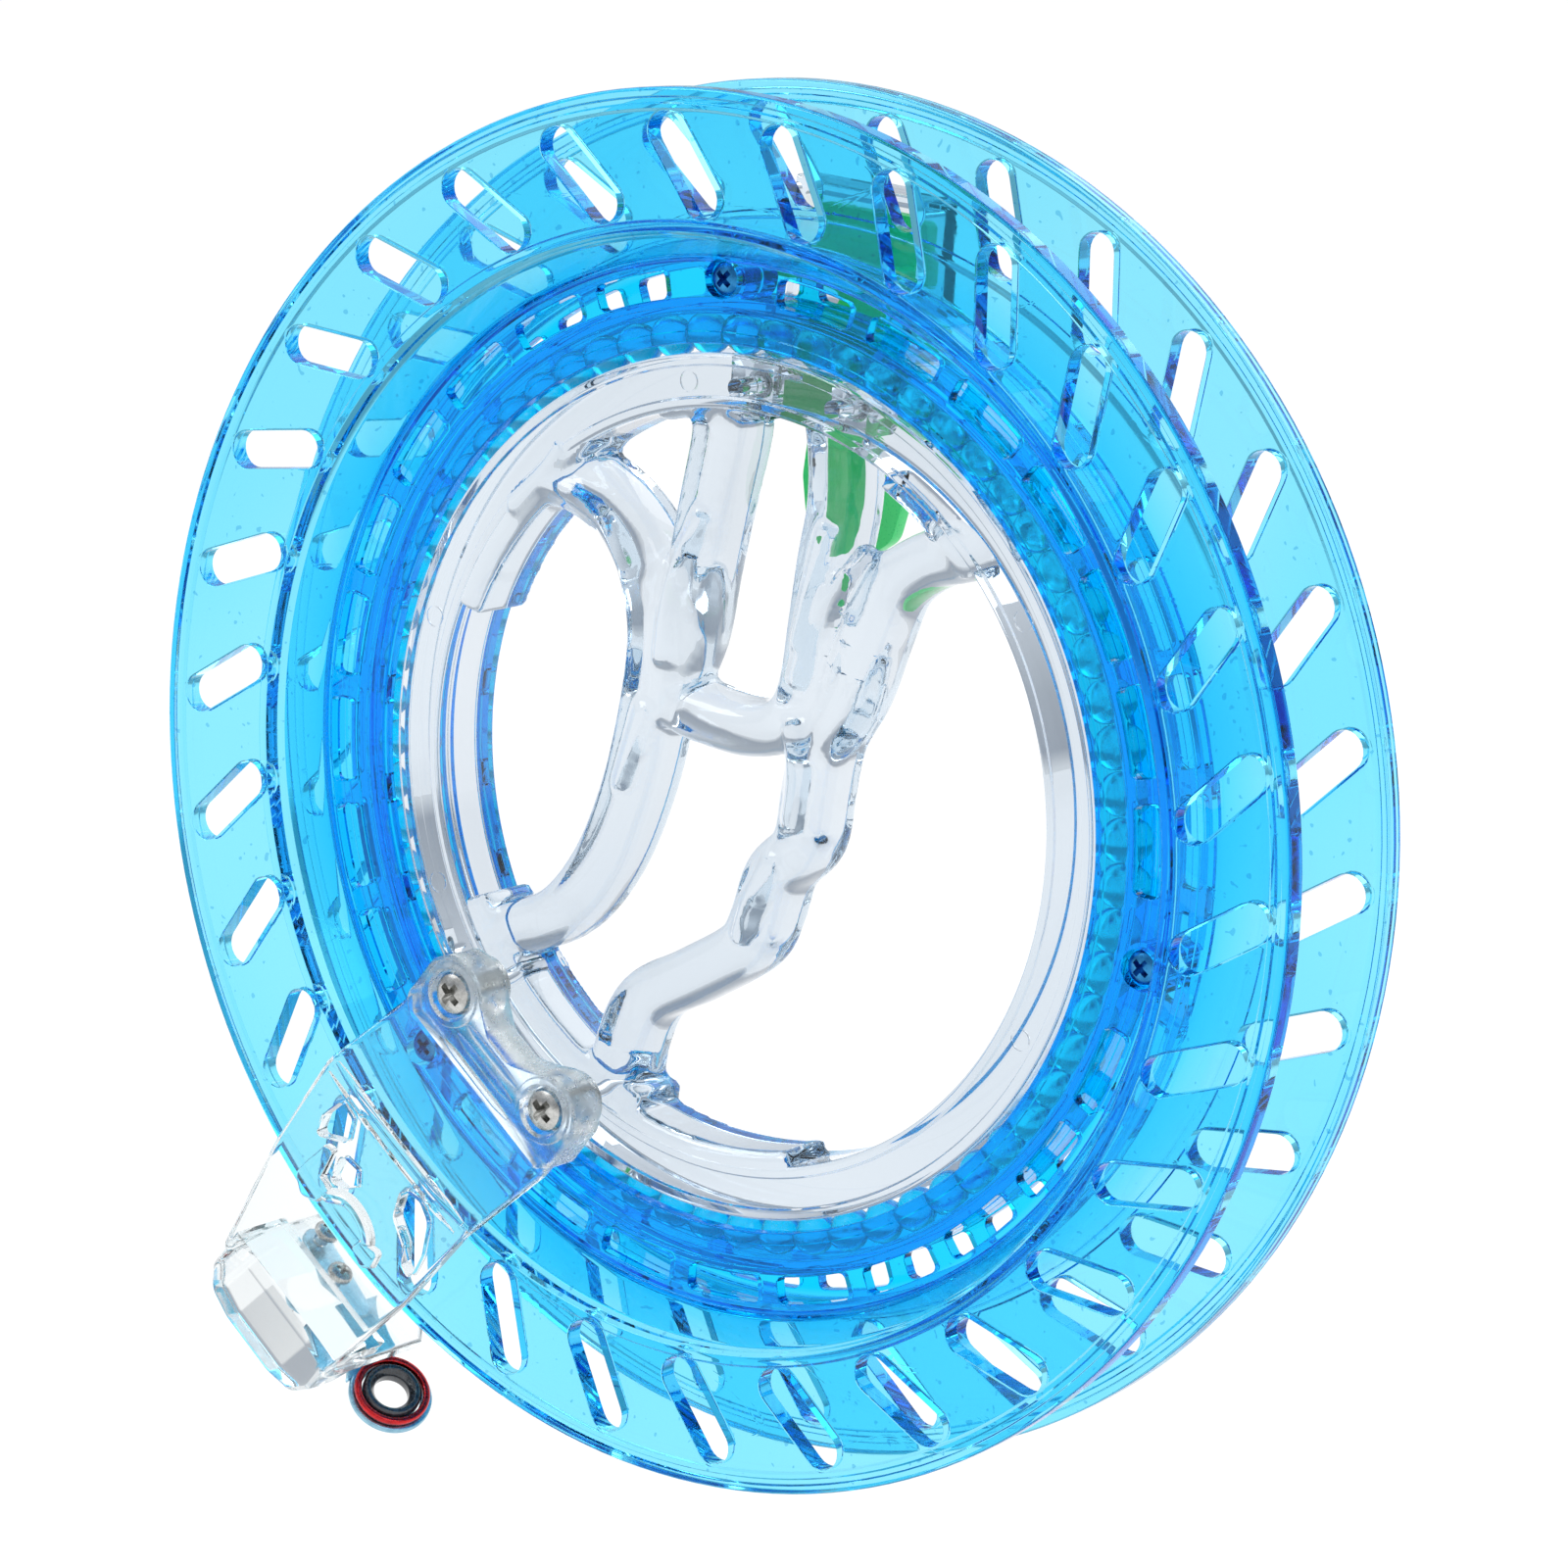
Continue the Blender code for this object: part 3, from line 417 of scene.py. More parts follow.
def hairlines(tree):
    """Thin wandering scratches: one where a stretched noise field crosses its middle value."""
    field = noise(tree, coords(tree, (1.0, 0.3, 2.6)), 34.0, 0.0)
    centred = add(tree, "ShaderNodeMath", operation="SUBTRACT")
    centred.inputs[1].default_value = 0.5
    tree.links.new(field, centred.inputs[0])
    size = add(tree, "ShaderNodeMath", operation="ABSOLUTE")
    tree.links.new(centred.outputs["Value"], size.inputs[0])
    return remap(tree, size.outputs["Value"], 0.0, 0.006, 1.0, 0.0)


# Extra roughness against the distance out along the arm, in metres: a hazy block, a clear plate, a dulled end
FROST = (
    (0.055, (0.26,) * 3), (0.066, (0.24,) * 3), (0.071, (0.0,) * 3), (0.1315, (0.0,) * 3),
    (0.1335, (0.06,) * 3),
)


def frosted_end(tree, roughness):
    """Adds the roughness that FROST gives at each distance along the arm."""
    source = add(tree, "ShaderNodeTexCoord")
    out = add(tree, "ShaderNodeVectorMath", operation="DOT_PRODUCT")
    out.inputs[1].default_value = ARM.out
    tree.links.new(source.outputs["Object"], out.inputs[0])
    share = ramp(tree, out.outputs["Value"], FROST)
    total = add(tree, "ShaderNodeMath", operation="ADD")
    tree.links.new(roughness, total.inputs[0])
    tree.links.new(share, total.inputs[1])
    return total.outputs["Value"]


def clear_plastic(name, tint, tint_deep, absorb, density, ior, rough=(0.01, 0.06), waviness=0.10, drum_shade_tint=None,
                  specks=False, frost=False, gloss=0.5, sheen=(1.0, 1.0, 1.0)):
    """Polished see-through moulding: flow waves, fine scratches, a tint deeper where it is thicker, and
    optional painted shade deepening the tint towards the spool's axis.
    """
    made, tree, shader = new_material(name)
    at = coords(tree)
    flow = noise(tree, at, 55.0, 0.0)
    cloud = noise(tree, at, 18.0, 0.0)
    grain = noise(tree, at, 900.0, 0.0)
    colour = ramp(tree, cloud, ((0.35, tint), (0.7, tint_deep)))
    # Painted shade: the tint deepens towards the spool's axis
    if drum_shade_tint:
        colour = painted_drum_shade(tree, colour, drum_shade_tint)
    if specks:
        colour = multiplied(tree, colour, dust(tree, at))
    tree.links.new(colour, shader.inputs["Base Color"])
    roughness = remap(tree, grain, 0.35, 0.75, *rough)
    if frost:
        roughness = frosted_end(tree, roughness)
    tree.links.new(roughness, shader.inputs["Roughness"])
    layers = [(flow, waviness * 0.0008)]
    if specks:
        layers.append((hairlines(tree), 0.000004))
    bump(tree, shader, layers)
    set_inputs(shader, {"Transmission Weight": 1.0, "IOR": ior, "Specular IOR Level": gloss,
                        "Specular Tint": (*sheen, 1.0)})
    volume = add(tree, "ShaderNodeVolumeAbsorption")
    set_inputs(volume, {"Color": (*absorb, 1.0), "Density": density})
    tree.links.new(volume.outputs["Volume"], tree.nodes["Material Output"].inputs["Volume"])
    return made


def satin_plastic(name, colour, shade_colour, see_through, painted_glow):
    """Injection-moulded plastic with a fine spark-eroded grain, and a painted glow: emission in its own
    colour that brightens it where it is in shade.
    """
    made, tree, shader = new_material(name)
    at = coords(tree)
    tree.links.new(ramp(tree, noise(tree, at, 40.0, 4.0), ((0.3, shade_colour), (0.65, colour))),
                   shader.inputs["Base Color"])
    grain = noise(tree, at, 2600.0, 2.0, 0.6)
    tree.links.new(remap(tree, grain, 0.3, 0.7, 0.24, 0.42), shader.inputs["Roughness"])
    bump(tree, shader, ((grain, 0.0000072), (noise(tree, at, 90.0, 2.0), 0.000048)))
    # The emission is painted light: a glow in the plastic's own colour
    set_inputs(shader, {"Transmission Weight": see_through, "Emission Color": (*colour, 1.0),
                        "Emission Strength": painted_glow, "Subsurface Weight": 0.15,
                        "Subsurface Radius": (0.002, 0.004, 0.002)})
    return made


def metal(name, colour, dark, rough, brushed=(1.0, 1.0, 1.0), grain_scale=1500.0, coat=0.0):
    """Plated or anodised metal: brushed grain, cloudy wear and tiny pits."""
    made, tree, shader = new_material(name)
    at = coords(tree)
    wear = noise(tree, at, 420.0, 5.0, 0.65)
    tree.links.new(ramp(tree, wear, ((0.32, dark), (0.62, colour))), shader.inputs["Base Color"])
    brush = noise(tree, coords(tree, brushed), grain_scale, 3.0, 0.6)
    tree.links.new(remap(tree, brush, 0.3, 0.7, rough * 0.7, rough * 1.5), shader.inputs["Roughness"])
    bump(tree, shader, ((brush, 0.000009), (wear, 0.000018)))
    set_inputs(shader, {"Metallic": 1.0, "Coat Weight": coat})
    return made


def ceramic(name):
    made, tree, shader = new_material(name)
    at = coords(tree)
    speck = noise(tree, at, 1800.0, 4.0, 0.6)
    tree.links.new(ramp(tree, speck, ((0.35, (0.012, 0.015, 0.02)), (0.7, (0.05, 0.06, 0.075)))),
                   shader.inputs["Base Color"])
    tree.links.new(remap(tree, speck, 0.3, 0.7, 0.06, 0.2), shader.inputs["Roughness"])
    bump(tree, shader, ((speck, 0.0000024),))
    shader.inputs["Coat Weight"].default_value = 0.6
    return made


# The blue's drum tint is painted shade, deeper towards the spool's axis
BLUE = clear_plastic(
    "blue_polycarbonate_look", (0.40, 0.90, 0.998), (0.32, 0.865, 0.995), (0.16, 0.78, 0.975), 150.0, 1.46,
    drum_shade_tint=(0.02, 0.76, 1.0), specks=True, gloss=0.4, sheen=(0.20, 0.80, 1.0))
CLEAR = clear_plastic(
    "clear_acrylic_look", (0.84, 0.86, 0.89), (0.77, 0.80, 0.84), (0.70, 0.82, 0.90), 34.0, 1.47,
    (0.0, 0.03), 0.14)
ARM_LOOK = clear_plastic(
    "arm_acrylic_look", (0.94, 0.96, 0.96), (0.87, 0.90, 0.91), (0.80, 0.88, 0.90), 10.0, 1.47,
    (0.01, 0.08), 0.20, frost=True)
BALL = clear_plastic(
    "ball_look", (0.80, 0.94, 1.0), (0.66, 0.88, 0.97), (0.6, 0.85, 0.95), 40.0, 1.5, (0.1, 0.3))
# The green lever's emission is painted light that brightens it where it is in shade
GREEN = satin_plastic("green_brake_look", (0.05, 0.80, 0.22), (0.03, 0.62, 0.16), 0.15, 0.15)
BLUE_STEEL = metal("blue_passivated_look", (0.05, 0.30, 0.62), (0.01, 0.12, 0.34), 0.28)
STEEL = metal("zinc_plated_look", (0.66, 0.66, 0.64), (0.30, 0.30, 0.29), 0.24)
ANODISED = metal("anodised_look", (0.36, 0.60, 0.72), (0.22, 0.42, 0.55), 0.28, (1.0, 1.0, 12.0))
RED = metal("red_ring_look", (0.70, 0.015, 0.02), (0.40, 0.008, 0.012), 0.26, coat=0.5)
CERAMIC = ceramic("dark_ceramic_look")


def dress(obj, look, body, node):
    """Gives a piece its look, and puts it in place of its CAD node."""
    obj.data.materials.clear()
    obj.data.materials.append(look)
    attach(obj, body)
    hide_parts(node)


# ---- spool
SLOT_COUNT, SLOT_PHASE, SLOT_TILT = 30, 174.5, 34.0
SLOT_RADIUS, SLOT_HALF_LENGTH, SLOT_HALF_WIDTH = 98.1, 6.15, 3.1
WINDOW_COUNT, WINDOW_PHASE = 28, 90.0
WINDOW_RADIUS = 79.4
# The windows that hold a screw boss instead
BOSSES = (0, 10, 20)
# Depths of the flange's sunken front face and of its back
BAND = 0.5
BACK = 3.8


def eased_levels(front, back, ease):
    """(depth, growth) levels of a cutter that leaves both edges of a plate rounded."""
    levels = [(front - 1.2, ease)]
    for k in range(5):
        a = radians(22.5 * k)
        levels.append((front - 0.02 + ease * (1 - cos(a)), ease * (1 - sin(a))))
    for k in range(4, -1, -1):
        a = radians(22.5 * k)
        levels.append((back + 0.02 - ease * (1 - cos(a)), ease * (1 - sin(a))))
    levels.append((back + 1.2, ease))
    return levels


def boss_place(window):
    return polar(BOSS_RADIUS, WINDOW_PHASE + 360.0 / WINDOW_COUNT * window)


def slot_ring(degrees, depth, grow):
    """One level of a leaning slot's cutter: two half-circles joined by straight sides."""
    cx, cz = polar(SLOT_RADIUS, degrees)
    lean = radians(degrees + SLOT_TILT)
    along = Vector((cos(lean), sin(lean)))
    ring = []
    for side in (1, -1):
        centre = Vector((cx, cz)) + along * SLOT_HALF_LENGTH * side
        for i in range(13):
            turn = lean + (0 if side > 0 else pi) + radians(-90 + 15 * i)
            p = centre + Vector((cos(turn), sin(turn))) * (SLOT_HALF_WIDTH + grow)
            ring.append((p.x, y_of(depth), p.y))
    return ring


def window_ring(degrees, depth, grow):
    """One level of a web window's cutter: a rounded oblong, bent round the axis."""
    half = radians(5.0) * WINDOW_RADIUS
    outline = rounded_box((-half, 77.3), (half, 81.6), 1.1, 22.5)
    ring = []
    for p in denser(outline + outline[:1], 2.4):
        across = p.x * (1.0 + grow / half)
        radius = 79.45 + (p.y - 79.45) * (1.0 + grow / 2.15)
        x, z = polar(radius, degrees + math.degrees(across / WINDOW_RADIUS))
        ring.append((x, y_of(depth), z))
    return ring


def spool_half(name, front):
    corners = [
        (RIM, 0.0, 0.6), (108.6, 0.0, 0.15), (108.35, 0.42, 0.12), (107.65, 0.42, 0.12), (107.4, 0.05, 0.12),
        (106.75, 0.05, 0.12), (106.35, BAND, 0.25), (106.15, BAND, 0.0), (90.0, BAND, 0.0), (89.8, BAND, 0.2),
        (89.45, 0.0, 0.25), (88.1, 0.0, 0.35), (87.5, 0.7, 0.4), (86.6, 2.4, 0.6), (83.1, 9.0, 1.3),
        (82.3, 9.0, 0.0), (76.6, 9.0, 0.0), (76.0, 9.0, 0.1), (75.9, 9.15, 0.1), (72.2, 9.15, 0.1),
        (72.0, 9.0, 0.1),
        (70.2, 9.0, 0.35), (70.2, 11.5, 0.4), (75.2, 11.5, 0.6), (75.2, 15.3, 0.1), (77.2, 15.3, 0.1),
        (77.2, 11.2, 0.15), (82.9, 11.2, 0.15), (83.0, 15.3, 0.1), (85.4, 15.3, 0.15), (85.4, 10.0, 2.5),
        (88.7, BACK, 1.4), (91.0, BACK, 0.0), (106.4, BACK, 0.0), (RIM, BACK, 0.6),
    ]

    def depth(d):
        return d if front else WIDTH - d

    profile = [Vector((p.x, depth(p.y))) for p in rounded(corners)]
    bm = bmesh.new()
    lathe(bm, profile)
    half = link(bm, name)
    bm = bmesh.new()
    for i in BOSSES:
        x, z = boss_place(i)
        start = Vector((x, y_of(depth(9.6)), z))
        turned(bm, start, (0.0, y_of(depth(15.15)) - y_of(depth(9.6)), 0.0), ((3.8, 0.0), (3.8, 5.55)), 40)
    join(half, bm, name + "_boss", 16.0)
    bm = bmesh.new()
    for i in range(SLOT_COUNT):
        angle = SLOT_PHASE + 360.0 / SLOT_COUNT * i
        loft(bm, [slot_ring(angle, depth(d), grow) for d, grow in eased_levels(BAND, BACK, 0.35)])
    for i in range(WINDOW_COUNT):
        if front and i in BOSSES:
            continue
        angle = WINDOW_PHASE + 360.0 / WINDOW_COUNT * i
        levels = eased_levels(9.0, 11.2, 0.25)
        if i in BOSSES:
            levels = levels[:-1] + [(11.5, 0.25)]
        loft(bm, [window_ring(angle, depth(d), grow) for d, grow in levels])
    for i in BOSSES:
        x, z = boss_place(i)
        turned(bm, Vector((x, y_of(8.0 if front else 12.0), z)), (0, 1, 0),
               ((3.1, 0.0), (3.1, 3.4), (1.45, 3.41), (1.45, 9.0)) if front else ((1.45, 0.0), (1.45, 8.0)),
               32)
    cut(half, bm, name + "_cutter", 16.0)
    return weigh_normals(half)


def build_spool():
    dress(spool_half("spool_front_moulding", True), BLUE, "spool", "spool_front")
    dress(spool_half("spool_rear_moulding", False), BLUE, "spool", "spool_rear")


# ---- screws
def screw(name, start, end, head, head_height, shank):
    """A cross-recess screw: domed head at start, threaded shank to end."""
    start, end = Vector(start), Vector(end)
    axis = (end - start).normalized()
    length = (end - start).length
    profile = [(0.02, 0.0), (head * 0.35, 0.03), (head * 0.68, head_height * 0.12),
               (head * 0.9, head_height * 0.32),
               (head, head_height * 0.62), (head, head_height * 0.92), (head * 0.97, head_height),
               (shank * 1.05, head_height)]
    pitch = shank * 0.72
    at = head_height + 0.4
    profile.append((shank * 0.82, at))
    while at + pitch < length - shank * 1.6:
        profile += [(shank * 0.80, at + pitch * 0.2), (shank, at + pitch * 0.55),
                    (shank * 0.80, at + pitch * 0.9)]
        at += pitch
    profile += [(shank * 0.78, length - shank * 1.4), (0.05, length)]
    bm = bmesh.new()
    turned(bm, start, axis, profile, 28)
    made = link(bm, name, 30.0)
    across = axis.orthogonal().normalized()
    other = axis.cross(across)
    for a, b in ((across, other), (other, -across)):
        rings = []
        for depth, reach, width in ((-0.6, 0.66, 0.19), (head_height * 0.35, 0.50, 0.15),
                                    (head_height * 0.95, 0.2, 0.1)):
            ring = []
            for u, v in ((1, 1), (-1, 1), (-1, -1), (1, -1)):
                ring.append(start + axis * depth + a * head * reach * u + b * head * width * v)
            rings.append(ring)
        cutter = bmesh.new()
        loft(cutter, rings)
        cut(made, cutter, name + "_recess", 30.0)
    return made


def fit_screw(node, start, end, sizes, look=STEEL, body="handle"):
    dress(screw(node + "_fine", start, end, *sizes), look, body, node)


# Head radius, head height and shank radius
ARM_SCREW_SIZES = (3.6, 2.2, 1.35)
HOUSING_SCREW_SIZES = (2.15, 1.5, 1.1)
SPOOL_SCREW_SIZES = (2.7, 1.6, 1.1)
GUIDE_SCREW_SIZES = (2.2, 1.5, 0.95)


def build_screws():
    for number, side in enumerate((-1, 1), 1):
        fit_screw(f"arm_screw_{number}", arm_screw_at(side, 0.5), arm_screw_at(side, 20.0), ARM_SCREW_SIZES)
        fit_screw(f"housing_screw_{number}", housing_screw_at(side, 31.2), housing_screw_at(side, 19.5),
                  HOUSING_SCREW_SIZES)
    for number, i in enumerate(BOSSES, 1):
        x, z = boss_place(i)
        fit_screw(f"spool_screw_{number}", (x, y_of(9.5), z), (x, y_of(19.0), z), SPOOL_SCREW_SIZES,
                  BLUE_STEEL, "spool")
    for number, (side, depth) in enumerate(GUIDE_SCREWS, 1):
        fit_screw(f"guide_screw_{number}", ARM.point(121.7, side, depth), ARM.point(128.9, side, depth),
                  GUIDE_SCREW_SIZES)


# ---- bearing balls
BALL_COUNT = 64
BALL_CIRCLE = 71.4
BALL_RADIUS, BALL_SEAM = 3.44, 0.05


def build_balls():
    """A full ring of balls with a faint moulding seam, each turned its own way."""
    bm = bmesh.new()
    for number in range(BALL_COUNT):
        x, z = polar(BALL_CIRCLE, 360.0 / BALL_COUNT * number)
        centre = Vector((x, y_of(MID_DEPTH), z))
        turn = Matrix.Rotation(random.uniform(0, pi), 3, "X") @ Matrix.Rotation(random.uniform(0, pi), 3, "Z")
        rings = []
        for k in range(13):
            lat = radians(-84 + 14 * k)
            radius = BALL_RADIUS + (BALL_SEAM if k == 6 else 0.0)
            ring = []
            for j in range(20):
                lon = 2 * pi * j / 20
                ring.append(centre + turn @ Vector((cos(lat) * cos(lon), cos(lat) * sin(lon),
                                                    sin(lat))) * radius)
            rings.append(ring)
        loft(bm, rings)
    dress(link(bm, "bearing_balls", 60.0), BALL, "bearing", "ball_train")


# ---- hub and grip
# Each bar's (x, z) route, and its half-width at the start and at the end
BAR_HALF_DEPTH = 6.3
BARS = {
    "outer_finger_bar": (
        ((-41.5, 49.0), (-36.0, 46.5), (-28.9, 43.6), (-22.0, 37.6), (-18.6, 29.4), (-18.0, 20.0),
         (-20.6, 6.8), (-24.4, -5.0), (-30.0, -16.0), (-37.7, -24.5), (-46.6, -28.2), (-60.5, -29.6)), 5.4,
         4.6),
    "upper_bar": (
        ((-4.2, 63.5), (-4.5, 55.5), (-7.2, 45.0), (-10.2, 33.0), (-12.6, 22.0), (-17.5, 12.5)), 5.4, 4.2),
    "palm_bar": (
        ((-18.0, 15.5), (-12.5, 11.6), (-6.0, 10.0), (1.0, 9.3), (7.8, 11.0), (11.6, 16.5),
         (13.7, 27.4), (15.4, 37.0), (17.4, 46.0), (17.6, 54.0), (16.5, 62.5)), 4.4, 4.6),
    "thumb_bar": (
        ((47.0, 42.6), (41.5, 40.6), (34.8, 38.8), (27.6, 34.0), (23.6, 26.0), (19.6, 16.5),
         (14.6, 8.8), (12.4, 0.5), (10.6, -7.9), (5.2, -13.3), (2.4, -20.6), (-1.0, -26.0),
         (-11.3, -31.9), (-20.6, -36.8), (-24.8, -44.1), (-26.5, -51.0), (-29.0, -60.0)), 4.6, 4.8),
}
# Moulded twigs on the bars' fronts: a route, its first and last radius, and its depth
TWIGS = (
    (((-13.6, 19.0), (-12.2, 28.0), (-9.6, 35.5), (-5.4, 43.0)), 2.4, 2.0, 12.2),
    (((12.6, 18.0), (15.6, 27.0), (20.6, 34.0), (26.0, 40.5)), 2.2, 1.4, 12.4),
    (((13.4, 24.0), (15.8, 33.0), (18.8, 43.0)), 2.0, 1.8, 12.0),
    (((-44.0, 41.0), (-37.0, 47.5), (-33.5, 52.0)), 2.4, 1.4, 12.0),
    (((-20.0, 33.0), (-24.5, 40.0), (-31.0, 44.0), (-38.5, 46.0)), 2.6, 2.0, 12.2),
    (((12.2, 12.0), (12.8, 4.0), (11.4, -4.5)), 2.6, 1.8, 12.2),
    (((8.5, -10.0), (4.0, -17.5), (1.5, -24.0)), 2.4, 2.0, 12.2),
    (((-17.0, 11.5), (-20.0, 4.0), (-22.5, -2.0)), 2.6, 1.6, 12.4),
)


def tube(bm, route, first, last, depth, half_depth, sides=24, power=3.4):
    """A bar of rounded-square section swept along an (x, z) route."""
    points = smooth_route(route)
    rings = []
    for i, point in enumerate(points):
        along = heading(points, i)
        across = Vector((along.y, 0.0, -along.x))
        share = i / (len(points) - 1)
        width = first + (last - first) * share
        centre = Vector((point.x, y_of(depth), point.y))
        ring = []
        for k in range(sides):
            turn = 2 * pi * (k + 0.5) / sides
            c, s = cos(turn), sin(turn)
            squash = (abs(c) ** power + abs(s) ** power) ** (-1 / power)
            ring.append(centre + across * width * c * squash + Vector((0.0, half_depth * s * squash, 0.0)))
        rings.append(ring)
    loft(bm, rings)


def arc_rib(bm, start, end, inner, outer, front, back, taper=False):
    """A raised rib along the inside of the hub ring; a tapered one runs out to a point at its start."""
    rings = []
    steps = 26
    for i in range(steps + 1):
        share = i / steps
        grow = min(1.0, share * 3.0) if taper else 1.0
        middle = outer - 0.6
        low = middle + (inner - middle) * (0.25 + 0.75 * grow)
        angle = start + (end - start) * share
        ring = []
        for r, d in ((low, back), (low, front + 1.0), (low + 1.0, front), (outer - 1.0, front),
                     (outer, front + 1.0),
                     (outer, back)):
            x, z = polar(r, angle)
            ring.append((x, y_of(d), z))
        rings.append(ring)
    loft(bm, rings)


def build_hub():
    corners = [
        (HUB_R, HUB_FRONT, 0.7), (66.9, HUB_FRONT, 0.2), (66.6, HUB_FRONT + 0.45, 0.2),
        (61.9, HUB_FRONT + 0.45, 0.2),
        (61.6, HUB_FRONT + 0.1, 0.2), (60.0, HUB_FRONT + 0.1, 0.8), (60.0, HUB_REAR, 0.8),
        (HUB_R, HUB_REAR, 0.7),
        (HUB_R, 18.9, 0.3), (67.55, 17.3, 1.2), (67.55, 13.6, 1.2), (HUB_R, 12.0, 0.3),
    ]
    bm = bmesh.new()
    lathe(bm, rounded(corners), 200)
    ring = link(bm, "hub_ring")
    bm = bmesh.new()
    middle = (HUB_FRONT + HUB_REAR) / 2
    for route, first, last in BARS.values():
        tube(bm, route, first, last, middle, BAR_HALF_DEPTH)
    for route, first, last, depth in TWIGS:
        tube(bm, route, first, last, depth, 2.3, 12, 2.1)
    arc_rib(bm, 118.0, 156.0, 56.2, 61.4, HUB_FRONT + 0.1, 23.0, taper=True)
    arc_rib(bm, 204.0, 250.0, 55.4, 61.4, HUB_FRONT + 0.6, 23.0)
    arc_rib(bm, 248.0, 281.0, 57.6, 61.6, HUB_FRONT + 0.1, 22.0)
    arc_rib(bm, 40.0, 60.0, 57.4, 61.4, HUB_FRONT + 0.1, 22.0)
    arc_rib(bm, 84.0, 104.0, 58.6, 61.4, HUB_FRONT + 0.8, 22.5)
    lathe(bm, [Vector(p) for p in ((60.5, HUB_FRONT + 1.0), (64.0, HUB_FRONT + 1.0), (64.0, HUB_REAR - 0.8),
                                   (60.5, HUB_REAR - 0.8))], 120)
    bars = link(bm, "grip_bars")
    remesh = bars.modifiers.new("blend", "REMESH")
    remesh.mode = "VOXEL"
    remesh.voxel_size = 0.75 * MM
    remesh.use_smooth_shade = True
    soften = bars.modifiers.new("soften", "SMOOTH")
    soften.factor = 0.5
    soften.iterations = 5
    settle(bars, 180.0)
    combine(ring, "UNION", bars, 24.0)
    bm = bmesh.new()
    for side in (-1, 1):
        turned(bm, arm_screw_at(side, 8.0), (0, 1, 0), ((1.65, 0.0), (1.65, 13.0)), 24)
        turned(bm, housing_screw_at(side, 27.0), (0, -1, 0), ((1.5, 0.0), (1.5, 8.0)), 24)
    cut(ring, bm, "hub_holes")
    bm = bmesh.new()
    for angle, radius in ((97.0, 64.3), (160.0, 64.3), (30.0, 64.3), (330.0, 64.3), (200.0, 64.3)):
        x, z = polar(radius, angle)
        profile = rounded(((1.55, -0.4, 0.0), (1.75, -0.4, 0.0), (1.75, 0.12, 0.0), (1.55, 0.12, 0.0)))
        turned(bm, Vector((x, y_of(HUB_FRONT + 0.45), z)), (0, 1, 0), profile, 28, loop=True)
    cut(ring, bm, "ejector_marks")
    ring.name = "hub_grip_moulding"
    dress(weigh_normals(ring), CLEAR, "handle", "hub_grip")


# ---- guide arm
PLATE_FRONT = -8.3
# (out, side, fillet) outlines of the holes through the plate
ARM_OPENINGS = (
    ((85.2, -12.6, 0.8), (85.6, -9.1, 0.8), (89.4, -7.4, 1.0), (90.9, -9.4, 0.8), (93.4, -12.5, 0.8),
     (89.8, -13.6, 1.5)),
    ((92.0, -6.6, 0.8), (91.4, -2.8, 0.6), (93.6, -1.2, 0.8), (96.4, -3.2, 0.8), (96.8, -5.6, 0.8)),
    ((86.2, 5.4, 1.2), (84.9, 9.4, 2.0), (86.3, 12.6, 2.5), (91.5, 15.3, 3.0), (96.6, 16.2, 0.9),
     (95.8, 13.6, 1.2),
     (93.0, 11.6, 1.2), (91.2, 7.4, 2.0)),
)
# Raised ornaments on the plate's front: a leaf and the foot of the S-shaped rib
ARM_LEAF = ((92.2, -9.8, 0.9), (91.4, -7.7, 0.7), (96.9, -6.6, 0.8), (97.6, -3.6, 0.9), (101.5, -4.7, 1.2),
            (103.2, -7.8, 1.2),
            (101.2, -11.1, 1.6), (97.7, -10.8, 1.6))
ARM_FOOT = ((101.4, 4.9, 0.9), (98.6, 5.4, 0.9), (97.2, 9.8, 0.9), (100.6, 10.4, 1.0), (102.6, 8.6, 1.2))


def plate_half_width(out):
    for (low, first), (high, last) in (((70.0, 19.1), (82.0, 19.1)), ((82.0, 19.1), (100.5, 18.1)),
                                       ((100.5, 18.1), (123.2, 14.4))):
        if out <= high:
            return first + (last - first) * max(0.0, out - low) / (high - low)
    return 14.4


def arm_plate(bm):
    """The cranked plate, swept from the block down the ramp, along the front and back down the end wall."""
    path = rounded(((64.0, 3.2, 0.0), (70.2, 2.6, 3.0), (82.1, -7.0, 1.5), (125.0, -7.0, 3.0),
                    (125.0, 20.0, 0.0)),
                   9.0, closed=False)
    dense = denser(path, 3.0) + [path[-1]]
    rings = []
    for i, here in enumerate(dense):
        along = heading(dense, i)
        normal = Vector((along.y, -along.x))
        half = plate_half_width(here.x)
        from_end = 20.0 - here.y
        if here.x > 120.0 and from_end < 3.0:
            half -= 3.0 - sqrt(max(0.0, 9.0 - (3.0 - from_end) ** 2))
        thick = 1.3 + 0.2 * max(0.0, min(1.0, (here.x - 121.0) / 4.0))
        section = rounded_box((-half, -thick), (half, thick), 0.75, 22.5)
        rings.append([ARM.point(here.x + normal.x * p.y, p.x, here.y + normal.y * p.y) for p in section])
    loft(bm, rings)


def arm_nose(bm):
    """The thick rounded end that overhangs the wall."""
    side = [(121.0, 14.0, 0.0), (129.0, 13.9, 2.0), (132.6, 11.4, 3.0), (133.8, 6.0, 3.0)]
    outline = mirrored(side, 10.0)
    rings = []
    for depth, reach, inset in ((-8.25, 1.0, 1.3), (-8.05, 1.0, 0.7), (-7.5, 1.0, 0.2), (-6.8, 1.0, 0.0),
                                (-2.2, 1.0, 0.0),
                                (-1.5, 0.985, 0.0), (-0.8, 0.95, 0.0), (5.2, 0.48, 0.0), (5.9, 0.40, 0.3)):
        rings.append([ARM.point(121.0 + max(0.0, (p.x - 121.0) * reach - inset), p.y * (1 - inset / 14.0),
                                depth)
                      for p in outline])
    loft(bm, rings)


